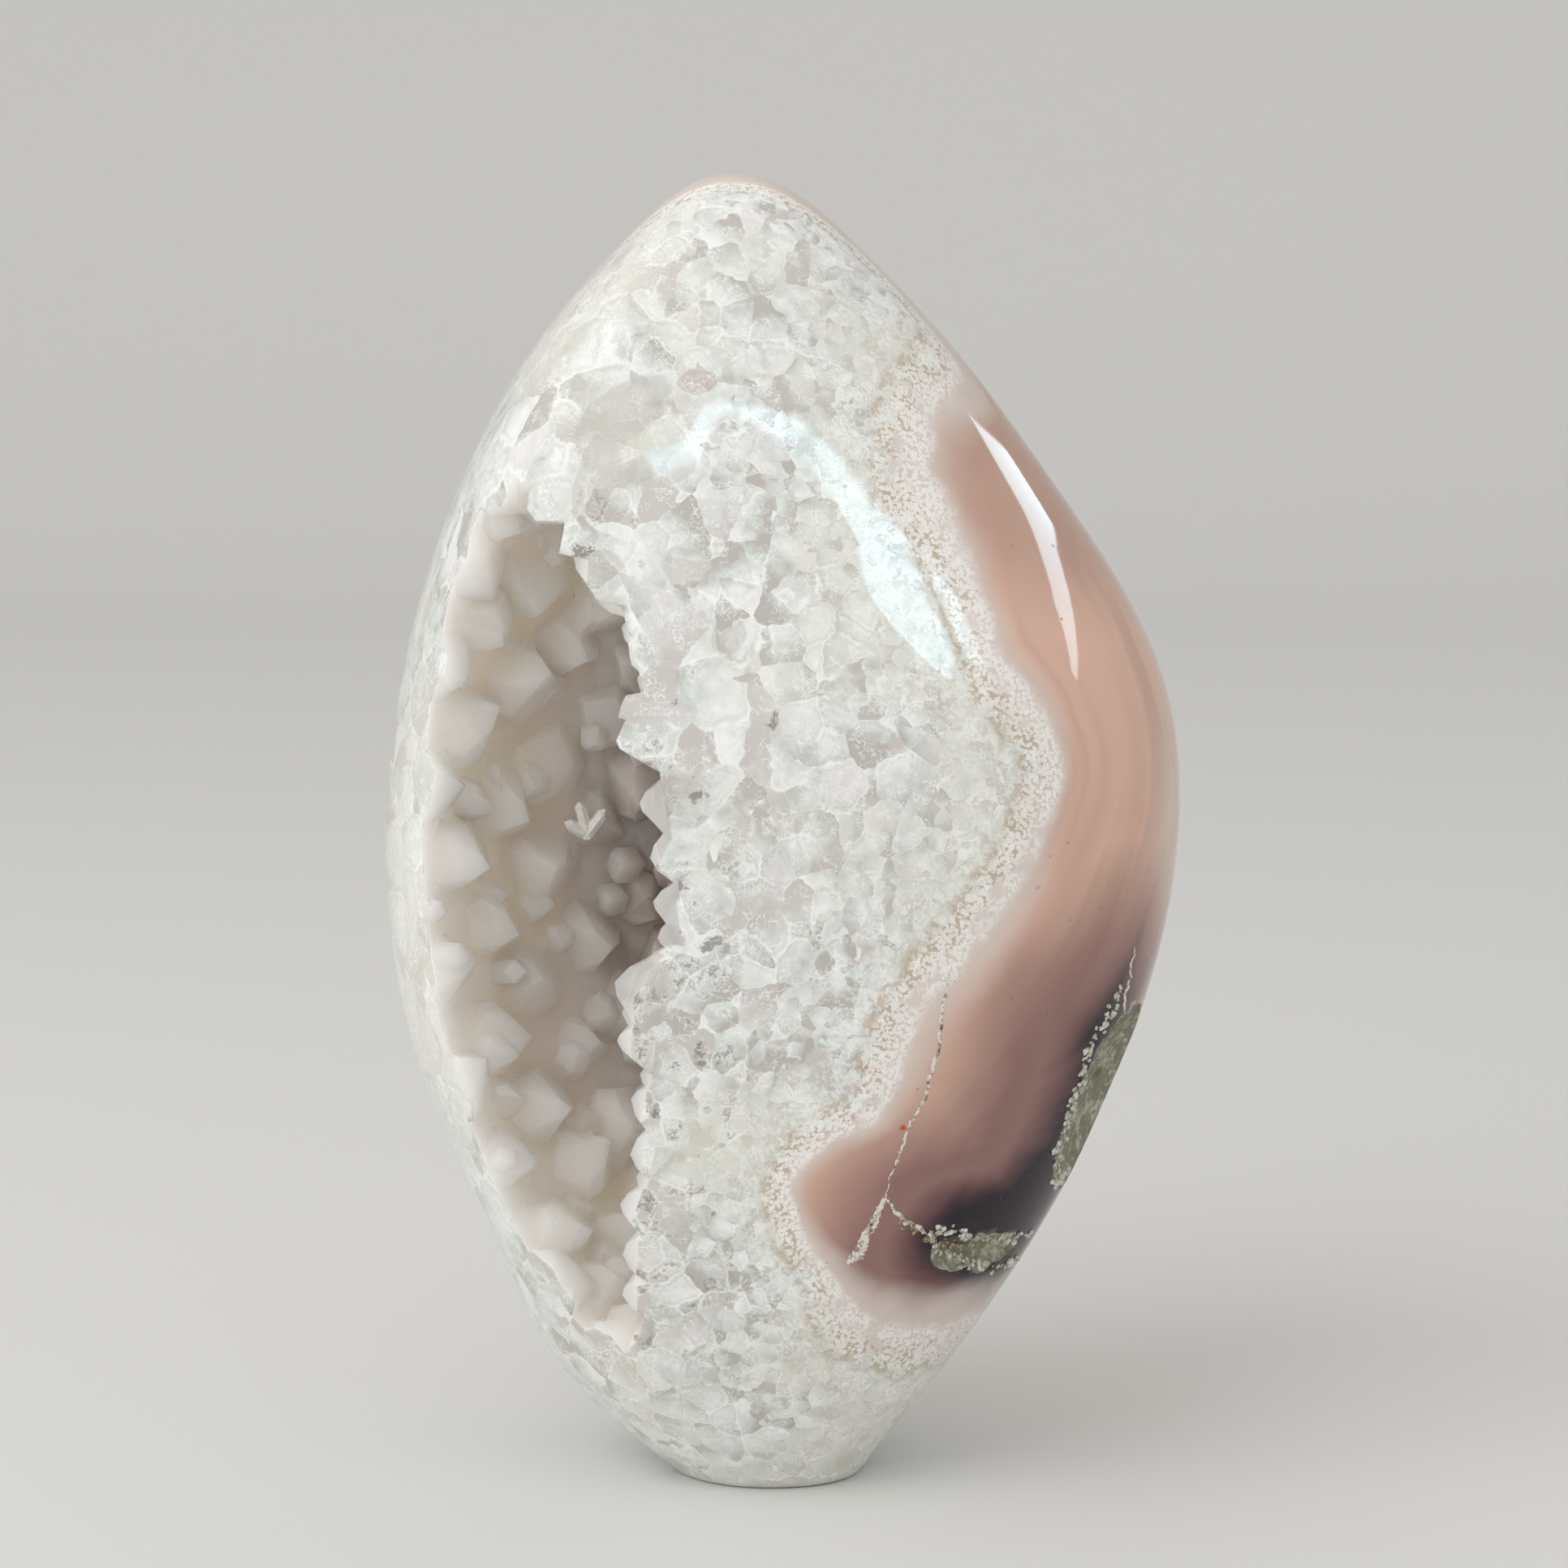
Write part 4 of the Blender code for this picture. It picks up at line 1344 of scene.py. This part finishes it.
class AGATE_OT_stone(bpy.types.Operator):
    """Builds the polished stone with its hollow of crystals and its rough pits"""

    bl_idname = "agate.stone"
    bl_label = "Stone"

    def execute(self, context):
        shape, colours = context.scene.agate_shape, context.scene.agate_colours
        rng = random.Random(SEED)
        group = group_of("quartz_points")
        wall_points(group, rng)
        rim_points(group, MILKY_RIM_POINTS, rng)
        cores = [(height, reach + CLEAR_TIP, *rest) for height, reach, *rest in CLEAR_RIM_POINTS]
        rim_points(group, cores, rng)
        rim_points(group, gap_points(rng), rng)
        small_points(group, shape.small_points, shape.small_radius, rng)
        crust_floor = CRUST_THICKNESS - CRUST_FLOOR
        void = new_object("void", hollow_mesh("void", crust_floor, HOLLOW_SEGMENTS, HOLLOW_RINGS))
        carve(void, "DIFFERENCE", group)
        keep_largest_body(void)
        clear_group(group)

        form = form_mesh("polished_stone", shape.form_rings, shape.form_segments, POLISH_WAVE)
        tree = tree_of(form)
        stone = new_object("polished_stone", form)
        carve(stone, "DIFFERENCE", void)
        bpy.data.objects.remove(void)
        for number, pit in enumerate(RIND_PITS, start=1):
            cutter = rind_cutter(f"rind_cutter_{number}", pit, shape.pit_roughness)
            carve(stone, "DIFFERENCE", cutter)
            bpy.data.objects.remove(cutter)
        keep_largest_body(stone)
        stone.data.materials.clear()
        for made in (polished_material(colours), druse_material(colours), rind_material(colours)):
            stone.data.materials.append(made)
        sort_faces(stone.data, tree)
        mark_stone(stone.data, tree)
        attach(stone, "root")
        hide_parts("agate_stone", "crystal_crust")
        return {"FINISHED"}


class AGATE_OT_clear_points(bpy.types.Operator):
    """Adds the clear quartz points in the front rim of the hollow"""

    bl_idname = "agate.clear_points"
    bl_label = "Clear points"

    def execute(self, context):
        group = group_of("clear_points")
        rim_points(group, CLEAR_RIM_POINTS, random.Random(SEED + 1))
        points = list(group.objects)
        clear = new_object("clear_points", points[0].data.copy())
        clear.data.transform(points[0].matrix_world)
        bpy.data.objects.remove(points[0])
        carve(clear, "UNION", group)
        clear_group(group)
        form = form_mesh("form_cutter", FORM_RINGS, FORM_SEGMENTS, 0.0, CLEAR_INSET)
        cutter = new_object("form_cutter", form)
        carve(clear, "INTERSECT", cutter)
        bpy.data.objects.remove(cutter)
        clear.data.materials.clear()
        clear.data.materials.append(clear_material())
        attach(clear, "root")
        return {"FINISHED"}


class AGATE_OT_blades(bpy.types.Operator):
    """Adds the small bright blades deep in the hollow"""

    bl_idname = "agate.blades"
    bl_label = "Bright blades"

    def execute(self, context):
        colours = context.scene.agate_colours
        right, up, forward = view_axes()
        root, _, _, _ = seen_hit(tree_of(bpy.data.objects["polished_stone"].data), *BLADE_ROOT)
        if root is None:
            raise RuntimeError("the blades have no root")
        rng = random.Random(SEED + 3)
        bm = bmesh.new()
        for lean, length in BLADES:
            lean = math.radians(lean)
            axis = right * math.sin(lean) + up * math.cos(lean) - forward * BLADE_REACH
            axis.normalize()
            half = length * MM / 2
            blade = point_mesh("blade", BLADE_RADIUS * MM, half, rng)
            middle = Matrix.Translation(root + axis * half * BLADE_STAND)
            blade.transform(middle @ axis.to_track_quat("Z", "Y").to_matrix().to_4x4())
            bm.from_mesh(blade)
        blades = new_object("bright_blades", to_mesh(bm, "bright_blades"))
        blades.data.materials.append(crumb_material("bright_quartz", colours.druse, colours.crumb))
        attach(blades, "root")
        return {"FINISHED"}


class AGATE_OT_cracks(bpy.types.Operator):
    """Adds the healed cracks in the agate and the rust spot beside them"""

    bl_idname = "agate.cracks"
    bl_label = "Healed cracks"

    def execute(self, context):
        colours = context.scene.agate_colours
        tree = guide_tree()
        seam_finish = seam_material(colours)
        for number, (line, start, end) in enumerate(CRACKS, start=1):
            seam = new_object(f"healed_crack_{number}", seam_mesh(line, start, end, tree, number))
            seam.data.materials.append(seam_finish)
            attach(seam, "root")
        spot = new_object("rust_spot", spot_mesh(tree))
        spot.data.materials.append(plain_material("rust", colours.rust, 0.4))
        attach(spot, "root")
        return {"FINISHED"}


class AGATE_OT_crumbs(bpy.types.Operator):
    """Adds the crumbs along the edges of the rough rind"""

    bl_idname = "agate.crumbs"
    bl_label = "Rind crumbs"

    def execute(self, context):
        colours = context.scene.agate_colours
        tree = tree_of(bpy.data.objects["polished_stone"].data)
        rng = random.Random(SEED + 2)
        kinds = (
            ("rind_crumbs", False, colours.rind_pale, colours.rind_white),
            ("rusty_crumbs", True, colours.rind_brown, colours.rind_pale),
        )
        for name, rusty, low, high in kinds:
            crumbs = new_object(name, crumb_mesh(name, rusty, tree, rng))
            crumbs.data.materials.append(crumb_material(name, low, high))
            crumbs.data.shade_smooth()
            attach(crumbs, "root")
        return {"FINISHED"}


class AGATE_OT_stage(bpy.types.Operator):
    """Sets the pale floor and backdrop, the studio light and the camera"""

    bl_idname = "agate.stage"
    bl_label = "Stage"

    def execute(self, context):
        colours, light = context.scene.agate_colours, context.scene.agate_light
        paper = new_object("backdrop", backdrop_mesh())
        paper.data.materials.append(plain_material("backdrop_paper", colours.floor, 0.9))
        tree = guide_tree()
        for name, (share, colour, outline) in WINDOWS.items():
            pane = new_object(name, window_mesh(name, outline, tree))
            pane.data.materials.append(glow_material(f"{name}_glow", colour, light.window * share))
            pane.visible_diffuse = False
        add_fill_light(light.fill)
        world = bpy.data.worlds.new("studio")
        world.use_nodes = True
        background = world.node_tree.nodes["Background"]
        background.inputs["Color"].default_value = ROOM_COLOUR
        background.inputs["Strength"].default_value = light.sky
        context.scene.world = world
        context.scene.view_settings.view_transform = "Standard"
        add_camera()
        return {"FINISHED"}


def backdrop_mesh():
    """A sheet that lies under the stone and curves up behind it."""
    half_width, front, back, radius, top, steps, drop = 6.0, -6.0, 1.2, 0.5, 1.8, 16, 0.00005
    profile = [(front, 0.0)]
    for i in range(steps + 1):
        angle = math.pi / 2 * i / steps
        profile.append((back + radius * math.sin(angle), radius * (1 - math.cos(angle))))
    profile.append((back + radius, top))
    corners = [(side, y, z - drop) for y, z in profile for side in (-half_width, half_width)]
    faces = [(2 * i, 2 * i + 1, 2 * i + 3, 2 * i + 2) for i in range(len(profile) - 1)]
    mesh = bpy.data.meshes.new("backdrop")
    mesh.from_pydata(corners, [], faces)
    mesh.shade_smooth()
    return mesh


def mirrored(tree, across, up_by):
    """The point of the polish at a place in view, and the direction of what it mirrors there."""
    near = (-MIRROR_SPREAD, 0.0, MIRROR_SPREAD)
    place = seen_hit(tree, across, up_by)[0]
    if place is None:
        raise RuntimeError("a window's reflection leaves the stone")
    found = [seen_hit(tree, across + i, up_by + j)[1] for i in near for j in near]
    normal = sum((each for each in found if each is not None), Vector()).normalized()
    return place, (place - eye_place()).normalized().reflect(normal)


def window_mesh(name, outline, tree):
    """A lit pane that the polish mirrors with the outline given, in view."""
    bm = bmesh.new()
    corners = []
    for spot in outline:
        place, towards = mirrored(tree, *spot)
        corners.append(bm.verts.new(place + towards * WINDOW_DISTANCE))
    face = bm.faces.new(corners)
    bm.normal_update()
    if face.normal.dot(corners[0].co - CAMERA_TARGET) > 0:
        face.normal_flip()
    bmesh.ops.triangulate(bm, faces=[face])
    return to_mesh(bm, name)


def glow_material(name, colour, strength):
    """Plain even light."""
    recipe = Recipe(name)
    return recipe.finish(Base_Color=(0.0, 0.0, 0.0), Emission_Color=colour, Emission_Strength=strength)


def add_fill_light(power):
    """The large soft light, which faces the stone and isn't mirrored in it."""
    azimuth, elevation = (math.radians(degrees) for degrees in FILL_PLACE)
    flat = math.cos(elevation)
    towards = Vector((math.sin(azimuth) * flat, -math.cos(azimuth) * flat, math.sin(elevation)))
    lamp = bpy.data.lights.new("fill", "AREA")
    lamp.shape = "RECTANGLE"
    lamp.size, lamp.size_y = FILL_SIZE
    lamp.energy = power
    made = new_object("fill", lamp)
    made.location = CAMERA_TARGET + towards * FILL_DISTANCE
    made.rotation_euler = towards.to_track_quat("Z", "Y").to_euler()
    made.visible_glossy = False


def add_camera():
    """The camera of the front view."""
    lens = bpy.data.cameras.new("front_view")
    lens.sensor_fit = "HORIZONTAL"
    lens.angle = 2 * math.atan(VIEW_WIDTH / 2 / CAMERA_DISTANCE)
    lens.clip_start = 0.01
    camera = new_object("front_view", lens)
    camera.location = eye_place()
    camera.rotation_euler = view_axes()[2].to_track_quat("-Z", "Y").to_euler()
    bpy.context.scene.camera = camera


class AGATE_PT_panel(bpy.types.Panel):
    """Lists the steps and the values they use"""

    bl_label = "Druzy Agate"
    bl_idname = "AGATE_PT_panel"
    bl_space_type = "VIEW_3D"
    bl_region_type = "UI"
    bl_category = "Agate"

    def draw(self, context):
        for step in STEPS:
            self.layout.operator(step.bl_idname)
        for group in (context.scene.agate_shape, context.scene.agate_colours, context.scene.agate_light):
            box = self.layout.box()
            for name in group.__annotations__:
                box.prop(group, name)


STEPS = (
    AGATE_OT_stone, AGATE_OT_clear_points, AGATE_OT_blades, AGATE_OT_cracks, AGATE_OT_crumbs,
    AGATE_OT_stage,
)
GROUPS = {"agate_shape": AgateShape, "agate_colours": AgateColours, "agate_light": AgateLight}


def register():
    for made in (*GROUPS.values(), *STEPS, AGATE_PT_panel):
        bpy.utils.register_class(made)
    for name, group in GROUPS.items():
        setattr(bpy.types.Scene, name, bpy.props.PointerProperty(type=group))


def unregister():
    for name in GROUPS:
        delattr(bpy.types.Scene, name)
    for made in reversed((*GROUPS.values(), *STEPS, AGATE_PT_panel)):
        bpy.utils.unregister_class(made)


def main():
    register()
    bpy.ops.agate.stone()
    bpy.ops.agate.clear_points()
    bpy.ops.agate.blades()
    bpy.ops.agate.cracks()
    bpy.ops.agate.crumbs()
    bpy.ops.agate.stage()


if __name__ == "__main__":
    main()
